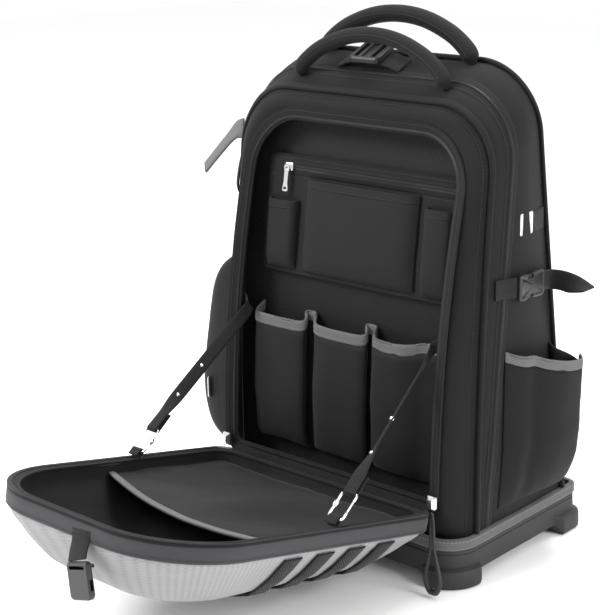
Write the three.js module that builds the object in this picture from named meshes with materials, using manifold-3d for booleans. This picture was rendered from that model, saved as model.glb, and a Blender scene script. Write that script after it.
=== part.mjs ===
// Tool backpack standing open: the stiff front lid is zipped off the body and hangs forward on
// two tether straps. +Z is up, -Y is the side that opens, +X is the right as seen from the front.
// All lengths are in millimetres.
import * as THREE from 'three';
import * as BufferGeometryUtils from 'three/addons/utils/BufferGeometryUtils.js';
import Module from 'manifold-3d';

const wasm = await Module();
wasm.setup();

// Driving dimensions of the body.
const BODY_W = 336;
const BODY_TOP = 480;
const TOP_RISE = 38;
const RISE_FROM = 250;
const TOP_CORNER_R = 66;
const BOTTOM_CORNER_R = 32;
const REAR_BASE_Y = 208;
const REAR_LEAN = 0.155;
const FRONT_LEAN = 54;
const SEAM_SETBACK = 35;
const SEAM_LEAN = 20;
const SIDE_SWELL = 8;
const CLOTH = 3;
const GAP = 0.3;

// Opening at the front, its zip and the panel behind it.
const OPEN_W = 290;
const OPEN_BOTTOM = 78;
const OPEN_TOP = 456;
const OPEN_TOP_R = 60;
const OPEN_BOTTOM_R = 16;
const RIM_W = 14;
const RIM_T = 2.4;
const PANEL_SET = 4;
const PANEL_LEAN = 36;
const PANEL_T = 5;
const PIPING_R = 2.8;
const BACK_PAD = 13;
const ZIP_SETBACK = 20;
const ZIP_LEAN = 26;
const MAIN_ZIP_W = 16;
const MAIN_ZIP_T = 1.6;

// Moulded base. Heights count from its skirt, so the feet stand below zero.
const GROUND = -10;
const FOOT_H = 12;
const BOOT_FLOOR = 4;
const BOOT_H = 31;
const BOOT_WALL = 5;
const BOOT_CORNER_R = 34;
const BOOT_REAR_R = 12;
const BOOT_FRONT_Y = -3;
const FOOT_REACH = 44;
const FOOT_RAMP = 10;
const FOOT_T = 11;
const FOOT_OUT = 8;
const TRIM_H = 12;
const TRIM_OUT = 1;

// Lid, measured in its own rim plane from the hinge outwards.
const LID_L = 354;
const LID_MARGIN = 6;
const LID_W = OPEN_W + 2 * LID_MARGIN;
const LID_TAPER = 13;
const LID_CORNER_R = 92;
const LID_HINGE_R = 20;
const LID_DEPTH_HINGE = 72;
const LID_DEPTH_END = 84;
const LID_WALL = 5;
const LINING_T = 1.8;
const LID_TILT = 12.6;
const HINGE_Z = 72;
const HINGE_Y = -11;
const LID_RIM_W = 11;
const LID_RIM_T = 3;
const LID_POCKET_V = 190;
const LID_POCKET_SKEW = 24;
const LID_POCKET_SAG = 16;
const LID_POCKET_DROP = 9;
const BINDING = 6;
const LASH_W = 23;
const LASH_COUNT = 4;
const LASH_FIRST = 57;
const LASH_PITCH = 44;

// Straps and handles.
const WEB = 25;
const WEB_T = 2;
const TETHER_W = 14;
const TETHER_T = 1.6;
const TETHER_Z = 240;
const TETHER_V = 150;
const HANDLE_R = 8.5;
const HANDLE_SPAN = 198;
const FRONT_HANDLE_RISE = 48;
const REAR_HANDLE_RISE = 46;
const SHOULDER_W = 62;
const SHOULDER_T = 13;
const SHOULDER_X = 62;
const SHOULDER_TOP = 442;
const SHOULDER_BOTTOM = 170;
const SHOULDER_OUT = 34;

// Outline, counter-clockwise as seen from the front, with outward normals. The straight sides
// have points at the given shares of their length and the corners at even angles.
const EDGE = { low: 4, lowCorner: 3, side: 6, topCorner: 6, top: 4 };
const evenStops = (count) => Array.from({ length: count }, (_, i) => i / count);
const EVEN = { low: evenStops(EDGE.low), side: evenStops(EDGE.side), top: evenStops(EDGE.top) };

function outline(halfWidth, low, high, topR, lowR, stops = EVEN) {
  const points = [];
  const line = (x0, z0, x1, z1, shares, nx, nz) => {
    shares.forEach((s) => {
      points.push({ x: x0 + (x1 - x0) * s, z: z0 + (z1 - z0) * s, nx, nz });
    });
  };
  const sideDown = [0, ...stops.side.slice(1).reverse().map((s) => 1 - s)];
  const arc = (cx, cz, r, from, count) => {
    for (let i = 0; i < count; i += 1) {
      const a = from + (Math.PI / 2) * (i / count);
      const nx = Math.cos(a);
      const nz = Math.sin(a);
      points.push({ x: cx + r * nx, z: cz + r * nz, nx, nz });
    }
  };
  line(-halfWidth + lowR, low, halfWidth - lowR, low, stops.low, 0, -1);
  arc(halfWidth - lowR, low + lowR, lowR, -Math.PI / 2, EDGE.lowCorner);
  line(halfWidth, low + lowR, halfWidth, high - topR, stops.side, 1, 0);
  arc(halfWidth - topR, high - topR, topR, 0, EDGE.topCorner);
  line(halfWidth - topR, high, -halfWidth + topR, high, stops.top, 0, 1);
  arc(-halfWidth + topR, high - topR, topR, Math.PI / 2, EDGE.topCorner);
  line(-halfWidth, high - topR, -halfWidth, low + lowR, sideDown, -1, 0);
  arc(-halfWidth + lowR, low + lowR, lowR, Math.PI, EDGE.lowCorner);
  return points;
}

// Closed solid from vertices and triangles, turned so that its faces point out.
function solid(vertices, triangles) {
  let volume = 0;
  triangles.forEach(([a, b, c]) => {
    volume += vertices[a].dot(new THREE.Vector3().crossVectors(vertices[b], vertices[c]));
  });
  const index = triangles.flatMap(([a, b, c]) => (volume > 0 ? [a, b, c] : [a, c, b]));
  const geometry = new THREE.BufferGeometry().setFromPoints(vertices);
  geometry.setIndex(index);
  geometry.computeVertexNormals();
  return geometry;
}

// Rings joined in order: as a closed hoop, or with a flat or pointed cap on the first and last.
function ringLoft(rings, hoop) {
  const n = rings[0].length;
  const vertices = rings.flat();
  const triangles = [];
  const last = hoop ? rings.length : rings.length - 1;
  for (let i = 0; i < last; i += 1) {
    const next = (i + 1) % rings.length;
    for (let j = 0; j < n; j += 1) {
      const k = (j + 1) % n;
      triangles.push([i * n + j, i * n + k, next * n + k], [i * n + j, next * n + k, next * n + j]);
    }
  }
  if (!hoop) {
    [0, rings.length - 1].forEach((r) => {
      const centre = rings[r].reduce((sum, p) => sum.add(p), new THREE.Vector3()).divideScalar(n);
      vertices.push(centre);
      const c = vertices.length - 1;
      for (let j = 0; j < n; j += 1) {
        const k = (j + 1) % n;
        triangles.push(r === 0 ? [c, r * n + k, r * n + j] : [c, r * n + j, r * n + k]);
      }
    });
  }
  return solid(vertices, triangles);
}

// Sheet between a front grid and a back grid of the same size, cut into triangles alike.
function sheet(front, back) {
  const section = (row) => [...front[row], ...[...back[row]].reverse()];
  const vertices = [];
  const n = front[0].length * 2;
  front.forEach((_, row) => vertices.push(...section(row)));
  const triangles = [];
  for (let i = 0; i < front.length - 1; i += 1) {
    for (let j = 0; j < n; j += 1) {
      const k = (j + 1) % n;
      const [a, b, c, d] = [i * n + j, i * n + k, (i + 1) * n + k, (i + 1) * n + j];
      if (j < n / 2) triangles.push([a, b, c], [a, c, d]);
      else triangles.push([a, b, d], [b, c, d]);
    }
  }
  [0, front.length - 1].forEach((row) => {
    for (let j = 0; j < n / 2 - 1; j += 1) {
      const a = row * n + j;
      const d = row * n + n - 1 - j;
      const quad = [a, a + 1, d - 1, d];
      if (row === 0) triangles.push([quad[0], quad[2], quad[1]], [quad[0], quad[3], quad[2]]);
      else triangles.push([quad[0], quad[1], quad[2]], [quad[0], quad[2], quad[3]]);
    }
  });
  return solid(vertices, triangles);
}

// Flat strap along points; the width directions are spread evenly along it.
function ribbon(points, width, thickness, ...directions) {
  const widthAt = (share) => {
    const at = share * (directions.length - 1);
    const i = Math.min(Math.floor(at), Math.max(directions.length - 2, 0));
    const next = directions[Math.min(i + 1, directions.length - 1)];
    return directions[i].clone().lerp(next, at - i);
  };
  const front = [];
  const back = [];
  points.forEach((p, i) => {
    const before = points[Math.max(i - 1, 0)];
    const after = points[Math.min(i + 1, points.length - 1)];
    const along = new THREE.Vector3().subVectors(after, before).normalize();
    const across = widthAt(i / (points.length - 1));
    across.addScaledVector(along, -across.dot(along)).normalize();
    const normal = new THREE.Vector3().crossVectors(along, across);
    const at = (w, t) => p.clone().addScaledVector(across, w).addScaledVector(normal, t);
    front.push([at(-width / 2, thickness / 2), at(width / 2, thickness / 2)]);
    back.push([at(-width / 2, -thickness / 2), at(width / 2, -thickness / 2)]);
  });
  return sheet(front, back);
}

// Round bar or padded tube along a curve.
function tube(points, radius, sides, steps, closed = false) {
  const shape = new THREE.Shape();
  for (let i = 0; i < sides; i += 1) {
    const a = (i / sides) * Math.PI * 2;
    const x = radius * Math.cos(a);
    const y = radius * Math.sin(a);
    if (i === 0) shape.moveTo(x, y);
    else shape.lineTo(x, y);
  }
  shape.closePath();
  const path = new THREE.CatmullRomCurve3(points, closed);
  return new THREE.ExtrudeGeometry(shape, { steps, bevelEnabled: false, extrudePath: path });
}

function merged(geometry) {
  const bare = geometry.clone();
  bare.deleteAttribute('normal');
  bare.deleteAttribute('uv');
  return BufferGeometryUtils.mergeVertices(bare, 1e-4);
}

function toManifold(geometry) {
  const bare = merged(geometry);
  return new wasm.Manifold(new wasm.Mesh({
    numProp: 3,
    vertProperties: new Float32Array(bare.attributes.position.array),
    triVerts: new Uint32Array(bare.index.array),
  }));
}

function fromManifold(manifold) {
  const mesh = manifold.getMesh();
  const geometry = new THREE.BufferGeometry();
  geometry.setAttribute('position', new THREE.BufferAttribute(mesh.vertProperties, 3));
  geometry.setIndex(new THREE.BufferAttribute(mesh.triVerts, 1));
  geometry.computeVertexNormals();
  return geometry;
}

const joined = (...parts) => fromManifold(
  parts.map(toManifold).reduce((sum, next) => sum.add(next)),
);

const v3 = (x, y, z) => new THREE.Vector3(x, y, z);
const mix = (a, b, s) => a + (b - a) * s;
const clamp01 = (s) => Math.min(Math.max(s, 0), 1);
const smooth = (s) => clamp01(s) ** 2 * (3 - 2 * clamp01(s));

const COLOURS = {
  shell: ['#b9bcbc', 0.8, 0],
  dark: ['#2c2d30', 0.85, 0],
  darker: ['#1b1c1e', 0.9, 0],
  lining: ['#3a3b3e', 0.85, 0],
  binding: ['#8e9193', 0.75, 0],
  rubber: ['#1d1d1f', 0.7, 0],
  plastic: ['#17181a', 0.45, 0],
  metal: ['#b4b6b8', 0.3, 1],
  tape: ['#232427', 0.8, 0],
};
const root = new THREE.Group();
const lid = new THREE.Group();

function add(name, geometry, colour, parent = root) {
  const [color, roughness, metalness] = COLOURS[colour];
  const mesh = new THREE.Mesh(
    geometry,
    new THREE.MeshStandardMaterial({ color, roughness, metalness }),
  );
  mesh.name = name;
  parent.add(mesh);
  return mesh;
}

// Body faces: the opening leans back towards the top, the seam behind it leans less.
const HALF_W = BODY_W / 2;
const SKIRT = GROUND + FOOT_H;
const BODY_BOTTOM = SKIRT + BOOT_FLOOR + GAP;
const BOOT_TOP = BOOT_H + TRIM_H + GAP;
const rise = (z) => clamp01((z - OPEN_BOTTOM) / (OPEN_TOP - OPEN_BOTTOM));
const frontY = (z) => FRONT_LEAN * rise(z) ** 2;
const seamY = (z) => SEAM_SETBACK + SEAM_LEAN * rise(z) ** 2;
const rearY = (z) => REAR_BASE_Y - REAR_LEAN * z;
const panelY = (z) => SEAM_SETBACK + PANEL_SET + PANEL_LEAN * rise(z) ** 2;
const bodyEdge = outline(HALF_W, BODY_BOTTOM, BODY_TOP, TOP_CORNER_R, BOTTOM_CORNER_R);
const openEdge = outline(OPEN_W / 2, OPEN_BOTTOM, OPEN_TOP, OPEN_TOP_R, OPEN_BOTTOM_R);

const depthShare = (y, z) => clamp01((y - seamY(z)) / (rearY(z) - seamY(z)));
const swellAt = (y, z) => {
  const clearOfBoot = clamp01((z - BOOT_TOP + 5) / 90);
  return SIDE_SWELL * Math.sin(Math.PI * depthShare(y, z)) * clearOfBoot;
};

// Point of the body's outline moved out by an offset, at the depth that a function of z gives.
// The arch stands taller towards the rear, and the sides swell between their two seams.
const bodyPoint = (p, offset, depth) => {
  const z0 = p.z + p.nz * offset;
  const upper = clamp01((z0 - RISE_FROM) / (BODY_TOP - TOP_CORNER_R - RISE_FROM));
  const z = z0 + TOP_RISE * depthShare(depth(z0), z0) * upper;
  const y = depth(z);
  const swell = swellAt(y, z);
  return v3(p.x + p.nx * (offset + swell), y, z + p.nz * swell);
};
const bodyRing = (offset, depth) => bodyEdge.map((p) => bodyPoint(p, offset, depth));

// Ring between the opening's edge (0) and the body's outline (1).
const faceRing = (share, offset, depth) => openEdge.map((p, i) => {
  const q = bodyEdge[i];
  const x = mix(p.x, q.x, share) + mix(p.nx, q.nx, share) * offset;
  const z = mix(p.z, q.z, share) + mix(p.nz, q.nz, share) * offset;
  return v3(x, depth(z), z);
});

// Ring drawn in towards the body's middle, at the depth that a function of z gives.
const shrunk = (ring, share, depth) => ring.map((p) => {
  const z = mix((BODY_BOTTOM + BODY_TOP) / 2, p.z, share);
  return v3(p.x * share, depth(z), z);
});

const zipY = (z) => SEAM_SETBACK + ZIP_SETBACK + ZIP_LEAN * rise(z);
const between = (from, to, share) => (z) => mix(from(z), to(z), share);
const behind = (depth, by) => (z) => depth(z) + by;
const BORDER_CROWN = 9;
const borderY = (share) => (z) => {
  const crown = BORDER_CROWN * 4 * share * (1 - share);
  return mix(frontY(z), seamY(z), share) - crown;
};

add('front_border', ringLoft([
  faceRing(0, 0, borderY(0)),
  faceRing(0.5, 0, borderY(0.5)),
  faceRing(1, 0, borderY(1)),
  faceRing(1, -CLOTH, behind(borderY(1), CLOTH / 2)),
  faceRing(0.5, 0, behind(borderY(0.5), CLOTH)),
  faceRing(0, 0, behind(borderY(0), CLOTH)),
], true), 'dark');

// Zip tape round the opening, standing a little proud of the border.
const RIM_FLARE = 5.5;
const rimBack = 0.4;
add('front_rim', ringLoft([
  faceRing(0, -RIM_W / 2, behind(frontY, rimBack)),
  faceRing(0, -RIM_W / 2, behind(frontY, rimBack - RIM_T)),
  faceRing(0, RIM_W / 2, behind(frontY, rimBack - RIM_T - RIM_FLARE)),
  faceRing(0, RIM_W / 2, behind(frontY, rimBack - RIM_FLARE)),
], true), 'tape');

function gusset(name, depths) {
  add(name, ringLoft([
    ...depths.map((depth) => bodyRing(0, depth)),
    ...[...depths].reverse().map((depth) => bodyRing(-CLOTH, depth)),
  ], true), 'dark');
}
gusset('front_gusset', [
  behind(seamY, CLOTH / 2 + GAP),
  between(seamY, zipY, 0.55),
  behind(zipY, -GAP),
]);
gusset('rear_gusset', [
  zipY,
  between(zipY, rearY, 1 / 3),
  between(zipY, rearY, 2 / 3),
  rearY,
]);

// Bar along the body's arch from the base trim up one side, over the top and down the other.
const archFirst = EDGE.low + EDGE.lowCorner;
const archLast = bodyEdge.length - EDGE.lowCorner;
const archEdge = bodyEdge.slice(archFirst, archLast + 1).map((p) => (
  { ...p, z: Math.max(p.z, BOOT_TOP + GAP) }
));
const archBar = (profile, depth) => ringLoft(archEdge.map((p) => profile.map(([out, back]) => (
  bodyPoint(p, out, behind(depth, back))
))), false);
const roundProfile = Array.from({ length: 6 }, (_, i) => {
  const a = (i / 6) * Math.PI * 2;
  return [PIPING_R + GAP + PIPING_R * Math.cos(a), PIPING_R * Math.sin(a)];
});
add('piping_front', archBar(roundProfile, behind(seamY, CLOTH / 2)), 'darker');
add('piping_rear', archBar(roundProfile, behind(rearY, -PIPING_R)), 'darker');
const zipSeat = GAP * 2;
add('main_zip', archBar([
  [zipSeat, -MAIN_ZIP_W / 2],
  [zipSeat + MAIN_ZIP_T, -MAIN_ZIP_W / 2],
  [zipSeat + MAIN_ZIP_T, 0],
  [zipSeat + MAIN_ZIP_T, MAIN_ZIP_W / 2],
  [zipSeat, MAIN_ZIP_W / 2],
  [zipSeat, 0],
], zipY), 'tape');

// Padded back and the divider that carries the pockets.
const backRing = bodyRing(0, behind(rearY, GAP));
const PAD_EDGE = 5;
add('back_panel', ringLoft([
  shrunk(backRing, 0.5, behind(rearY, GAP)),
  backRing,
  bodyRing(0, behind(rearY, PAD_EDGE)),
  shrunk(backRing, 0.94, behind(rearY, BACK_PAD - 2)),
  shrunk(backRing, 0.7, behind(rearY, BACK_PAD)),
  shrunk(backRing, 0.35, behind(rearY, BACK_PAD)),
], false), 'dark');

const panelRing = (share, back) => {
  const depth = behind(panelY, back);
  return shrunk(bodyRing(-CLOTH - GAP * 2, depth), share, depth);
};
add('inner_panel', ringLoft([
  panelRing(0.3, 0), panelRing(0.65, 0), panelRing(1, 0),
  panelRing(1, PANEL_T), panelRing(0.65, PANEL_T), panelRing(0.3, PANEL_T),
], false), 'lining');

// Moulded boot: a tray with four corner feet, and the grey band above it.
const bootInHalf = HALF_W + GAP;
const bootRearY = rearY(BODY_BOTTOM) + BACK_PAD + GAP;
const bootHalf = bootInHalf + BOOT_WALL;
const bootBackY = bootRearY + BOOT_WALL;
const frontRun = 2 * (bootHalf - BOOT_CORNER_R);
const rearRun = 2 * (bootHalf - BOOT_REAR_R);
const sideRun = bootBackY - BOOT_FRONT_Y - BOOT_CORNER_R - BOOT_REAR_R;
const frontFoot = [FOOT_REACH - FOOT_RAMP - BOOT_CORNER_R, FOOT_REACH - BOOT_CORNER_R];
const rearFoot = [FOOT_REACH - FOOT_RAMP - BOOT_REAR_R, FOOT_REACH - BOOT_REAR_R];
const bootEdge = outline(bootHalf, BOOT_FRONT_Y, bootBackY, BOOT_REAR_R, BOOT_CORNER_R, {
  low: [0, frontFoot[1] / frontRun, 0.5, 1 - frontFoot[1] / frontRun],
  side: [0, frontFoot[1] / sideRun, 0.45, 1 - rearFoot[1] / sideRun, 1 - rearFoot[0] / sideRun],
  top: [
    0, rearFoot[0] / rearRun, rearFoot[1] / rearRun,
    1 - rearFoot[1] / rearRun, 1 - rearFoot[0] / rearRun,
  ],
});
const nearCorner = (p) => {
  const alongX = smooth((Math.abs(p.x) - (bootHalf - FOOT_REACH)) / FOOT_RAMP);
  const middleY = (BOOT_FRONT_Y + bootBackY) / 2;
  const halfY = (bootBackY - BOOT_FRONT_Y) / 2;
  const alongY = smooth((Math.abs(p.z - middleY) - (halfY - FOOT_REACH)) / FOOT_RAMP);
  return alongX * alongY;
};
const bootRing = (out, footOut, z, lift) => bootEdge.map((p) => {
  const corner = nearCorner(p);
  const off = out + footOut * corner;
  return v3(p.x + p.nx * off, p.z + p.nz * off, z + lift * (1 - corner));
});
const bootIn = (z, share) => bootRing(-BOOT_WALL, 0, z, 0).map((p) => {
  const middle = (BOOT_FRONT_Y + bootRearY) / 2;
  return v3(p.x * share, mix(middle, p.y, share), p.z);
});
add('base_boot', ringLoft([
  bootIn(SKIRT, 0.4),
  bootRing(-FOOT_T - 0.8, 0, SKIRT, 0),
  bootRing(-FOOT_T, 0, GROUND, FOOT_H),
  bootRing(-2, FOOT_OUT - 2, GROUND, FOOT_H),
  bootRing(0, FOOT_OUT, GROUND + 4, FOOT_H),
  bootRing(0, FOOT_OUT - 1, SKIRT + 8, 0),
  bootRing(0, 0, BOOT_H, 0),
  bootRing(-BOOT_WALL, 0, BOOT_H, 0),
  bootRing(-BOOT_WALL, 0, SKIRT + BOOT_FLOOR, 0),
  bootIn(SKIRT + BOOT_FLOOR, 0.4),
], false), 'rubber');
add('base_trim', ringLoft([
  bootRing(TRIM_OUT, 0, BOOT_H + GAP, 0),
  bootRing(TRIM_OUT, 0, BOOT_H + TRIM_H, 0),
  bootRing(-BOOT_WALL + GAP, 0, BOOT_H + TRIM_H, 0),
  bootRing(-BOOT_WALL + GAP, 0, BOOT_H + GAP, 0),
], true), 'binding');

// Sheet that follows a path of [along, height] shares, one row per level.
function pathSheet(path, rows, thickness, place) {
  const front = [];
  const back = [];
  rows.forEach(([z, scale]) => {
    const points = path.map(([a, h]) => new THREE.Vector2(a, h * scale));
    const normals = points.map((_, i) => {
      const before = points[Math.max(i - 1, 0)];
      const after = points[Math.min(i + 1, points.length - 1)];
      const along = new THREE.Vector2().subVectors(after, before).normalize();
      return new THREE.Vector2(-along.y, along.x);
    });
    const side = (half) => points.map((p, i) => (
      place(p.x + normals[i].x * half, p.y + normals[i].y * half, z)
    ));
    front.push(side(thickness / 2));
    back.push(side(-thickness / 2));
  });
  return sheet(front, back);
}
const onPanel = (x, h, z) => v3(x, panelY(z) - h, z);

// Organiser board with its zip, flat pocket, narrow pocket and pen slot.
const BOARD_W = 270;
const BOARD_LOW = 278;
const BOARD_HIGH = 408;
const BOARD_T = 8;
const POCKET_T = 2;
const boardRows = [0, 0.25, 0.5, 0.75, 1].map((s) => mix(BOARD_LOW, BOARD_HIGH, s));
const board = (h) => boardRows.map((z) => [-1, -0.5, 0, 0.5, 1].map((s) => (
  onPanel((s * BOARD_W) / 2, h, z)
)));
const boardSeat = GAP * 3;
add('organiser_board', sheet(board(boardSeat + BOARD_T), board(boardSeat)), 'lining');

// Pocket on the board: columns as shares of its width, heights as shares of its bulge.
const POCKET_BULGE = 9;
const POCKET_LOW = 286;
const FLAT_POCKET = { name: 'flat_pocket', x0: -72, x1: 82, high: 386 };
const NARROW_POCKET = { name: 'narrow_pocket', x0: 93, x1: 129, high: 376 };
const PEN_POCKET = { name: 'pen_pocket', x0: -124, x1: -84, high: 360 };
const pocketColumns = [[0, 0], [0.06, 0.7], [0.3, 1], [0.7, 1], [0.94, 0.7], [1, 0]];
[FLAT_POCKET, NARROW_POCKET, PEN_POCKET].forEach(({ name, x0, x1, high }) => {
  const path = pocketColumns.map(([s, h]) => [mix(x0, x1, s), h * POCKET_BULGE]);
  const rows = [[POCKET_LOW, 0.3], [mix(POCKET_LOW, high, 0.15), 0.9], [high, 1]];
  const seat = boardSeat + BOARD_T + GAP * 2 + POCKET_T / 2;
  add(name, pathSheet(path, rows, POCKET_T, (x, h, z) => onPanel(x, seat + h, z)), 'lining');
});

const INNER_ZIP_X0 = -97;
const INNER_ZIP_X1 = 130;
const INNER_ZIP_Z = 396;
const INNER_ZIP_H = 14;
const boardFace = boardSeat + BOARD_T + GAP;
const zipRows = [INNER_ZIP_Z - INNER_ZIP_H / 2, INNER_ZIP_Z + INNER_ZIP_H / 2];
const zipGrid = (h) => zipRows.map((z) => (
  [0, 0.33, 0.67, 1].map((s) => onPanel(mix(INNER_ZIP_X0, INNER_ZIP_X1, s), h, z))
));
add('inner_zip', sheet(zipGrid(boardFace + MAIN_ZIP_T), zipGrid(boardFace)), 'tape');

// Three bellows tool pockets in one folded strip, with grey binding on its top edge.
const TOOL_LOW = 84;
const TOOL_HIGH = 231;
const TOOL_BULGE = 22;
const TOOL_DIP = 8;
const TOOL_T = 2.2;
const TOOL_HALF = 134;
const TOOL_BIND_H = 9;
const TOOL_BIND_T = 3.4;
const toolPath = [
  [-1, 0.04], [-0.99, 0.5], [-0.965, 0.85], [-0.9, 0.97], [-0.75, 1], [-0.55, 0.99],
  [-0.46, 0.94], [-0.43, 0.78], [-0.465, 0.42], [-0.51, 0.12], [-0.42, 0.1], [-0.37, 0.42],
  [-0.32, 0.78], [-0.25, 0.94], [-0.1, 1], [0.08, 0.99], [0.18, 0.94], [0.22, 0.78],
  [0.185, 0.42], [0.14, 0.12], [0.23, 0.1], [0.265, 0.42], [0.3, 0.76], [0.36, 0.92],
  [0.5, 0.97], [0.61, 0.92], [0.69, 0.74], [0.76, 0.52], [0.84, 0.44], [0.93, 0.36],
  [0.965, 0.04],
].map(([s, h]) => [s * TOOL_HALF, h * TOOL_BULGE]);
const toolRows = [[0, 0.2], [0.06, 0.6], [0.25, 0.86], [0.6, 0.97], [1, 1]].map(([s, h]) => (
  [mix(TOOL_LOW, TOOL_HIGH, s), h]
));
const toolSeat = TOOL_T / 2 + GAP * 1.4;
const onToolPanel = (x, h, z) => {
  const level = (z - TOOL_LOW) / (TOOL_HIGH - TOOL_LOW);
  return onPanel(x, toolSeat + h, z - TOOL_DIP * (h / TOOL_BULGE) * level);
};
add('tool_pockets', pathSheet(toolPath, toolRows, TOOL_T, onToolPanel), 'lining');
add('tool_pocket_binding', pathSheet(
  toolPath,
  [[TOOL_HIGH + GAP, 1], [TOOL_HIGH + GAP + TOOL_BIND_H, 1]],
  TOOL_BIND_T,
  onToolPanel,
), 'binding');

// Lid: a tray in its own rim plane, with v running out from the hinge and w up from the rim.
const LID_HALF = LID_W / 2;
const lidEdge = outline(LID_HALF, 0, LID_L, LID_CORNER_R, LID_HINGE_R);
const lidDepth = (v) => mix(LID_DEPTH_HINGE, LID_DEPTH_END, v / LID_L);
const lidPoint = (x, v, w) => v3(x * (1 - (LID_TAPER / LID_HALF) * (v / LID_L)), -v, w);
const lidRing = (inset, height) => lidEdge.map((p) => {
  const v = mix(LID_L / 2, p.z, 1 - inset / (LID_L / 2));
  return lidPoint(p.x * (1 - inset / LID_HALF), v, height(v));
});

// Section of the tray from its rim to its crown: inset in millimetres and share of the depth.
const TRAY = [[0, 0], [1.5, 0.22], [12, 0.4], [24, 0.58], [45, 0.8], [96, 1]];
const trayRings = (skin) => TRAY.map(([inset, share]) => lidRing(
  inset + skin,
  (v) => -lidDepth(v) * share + skin * Math.min(1, share * 1.25),
));
const LINING_SEAT = GAP * 1.8;
add('lid_shell', ringLoft([...trayRings(0).reverse(), ...trayRings(LID_WALL)], false), 'shell', lid);
add('lid_lining', ringLoft([
  ...trayRings(LID_WALL + LINING_SEAT).reverse(),
  ...trayRings(LID_WALL + LINING_SEAT + LINING_T),
], false), 'lining', lid);
const LID_RIM_OUT = 2;
const lidRimIn = LID_RIM_W - LID_RIM_OUT;
add('lid_rim', ringLoft([
  lidRing(-LID_RIM_OUT, () => GAP),
  lidRing(lidRimIn, () => GAP),
  lidRing(lidRimIn, () => GAP + LID_RIM_T),
  lidRing(-LID_RIM_OUT, () => GAP + LID_RIM_T),
], true), 'tape', lid);

// Fabric pocket across the hinge half of the lid; its free edge sags and is bound in grey.
const liningInset = LID_WALL + LINING_SEAT + LINING_T;
const pocketHalf = LID_HALF - liningInset - 0.4;
const POCKET_COLUMNS = [-1, -0.75, -0.45, -0.15, 0.15, 0.45, 0.75, 1];
const pocketEdgeV = (s) => (
  LID_POCKET_V + (LID_POCKET_SKEW * s) / 2 + LID_POCKET_SAG * (1 - s * s)
);
const pocketW = (s, v) => {
  const share = v / LID_POCKET_V;
  return -LID_POCKET_DROP - 8 * (1 - s * s) * share;
};
const pocketStart = liningInset + LID_HINGE_R * 0.4;
const pocketRow = (share, lift) => POCKET_COLUMNS.map((s) => {
  const v = mix(pocketStart, pocketEdgeV(s), share);
  const corner = Math.max(0, LID_HINGE_R - v) * 0.9;
  return lidPoint(s * (pocketHalf - corner - 2.4), v, pocketW(s, v) + lift);
});
const pocketShares = [0, 0.25, 0.5, 0.75, 1];
add('lid_pocket', sheet(
  pocketShares.map((s) => pocketRow(s, POCKET_T / 2)),
  pocketShares.map((s) => pocketRow(s, -POCKET_T / 2)),
), 'lining', lid);
const BINDING_T = 3.4;
const bindRow = (push, lift) => POCKET_COLUMNS.map((s) => {
  const v = pocketEdgeV(s) + push;
  return lidPoint(s * (pocketHalf - 1.2), v, pocketW(s, v) + lift);
});
add('lid_pocket_binding', sheet(
  [bindRow(GAP, BINDING_T / 2), bindRow(GAP + BINDING, BINDING_T / 2)],
  [bindRow(GAP, -BINDING_T / 2), bindRow(GAP + BINDING, -BINDING_T / 2)],
), 'binding', lid);

// Webbing rows sewn across the lid's outer face; their ends show on its rounded lower edge.
const LASH_T = 1.6;
const lashStops = [2.4, 6, 12, 24, 45, 96];
for (let i = 0; i < LASH_COUNT; i += 1) {
  const v0 = LASH_FIRST + LASH_PITCH * i;
  const section = (v, skin) => {
    const rows = TRAY.map(([inset, share]) => [inset - skin, -lidDepth(v) * share - skin]);
    const at = (inset) => {
      const j = Math.max(1, rows.findIndex(([r]) => r >= inset - skin - 1e-6));
      const [r0, w0] = rows[j - 1];
      const [r1, w1] = rows[j];
      const s = (inset - skin - r0) / (r1 - r0);
      return [LID_HALF - mix(r0, r1, s), mix(w0, w1, s)];
    };
    const half = lashStops.map(at);
    const left = half.map(([x, w]) => lidPoint(-x, v, w));
    return [...half.map(([x, w]) => lidPoint(x, v, w)), ...left.reverse()];
  };
  const seat = GAP * 2.3;
  add(`lash_row_${i + 1}`, sheet(
    [section(v0, seat + LASH_T), section(v0 + LASH_W, seat + LASH_T)],
    [section(v0, seat), section(v0 + LASH_W, seat)],
  ), 'darker', lid);
}
lid.position.set(0, HINGE_Y, HINGE_Z);
lid.rotation.x = THREE.MathUtils.degToRad(-LID_TILT);
root.add(lid);

// Cloth strip that joins the lid's hinge side to the body under the opening.
const HINGE_STRIP_W = 240;
const stripSide = (x, lift) => [
  v3(x, 3.9, HINGE_Z - 15 + lift),
  v3(x, HINGE_Y / 2 - 1, HINGE_Z - 18.5 + lift),
  v3(x, HINGE_Y - 6.1, HINGE_Z - 17.9 + lift),
];
const stripEnds = [-HINGE_STRIP_W / 2, HINGE_STRIP_W / 2];
add('lid_hinge', sheet(
  stripEnds.map((x) => stripSide(x, TETHER_T / 2)),
  stripEnds.map((x) => stripSide(x, -TETHER_T / 2)),
), 'lining');

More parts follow.
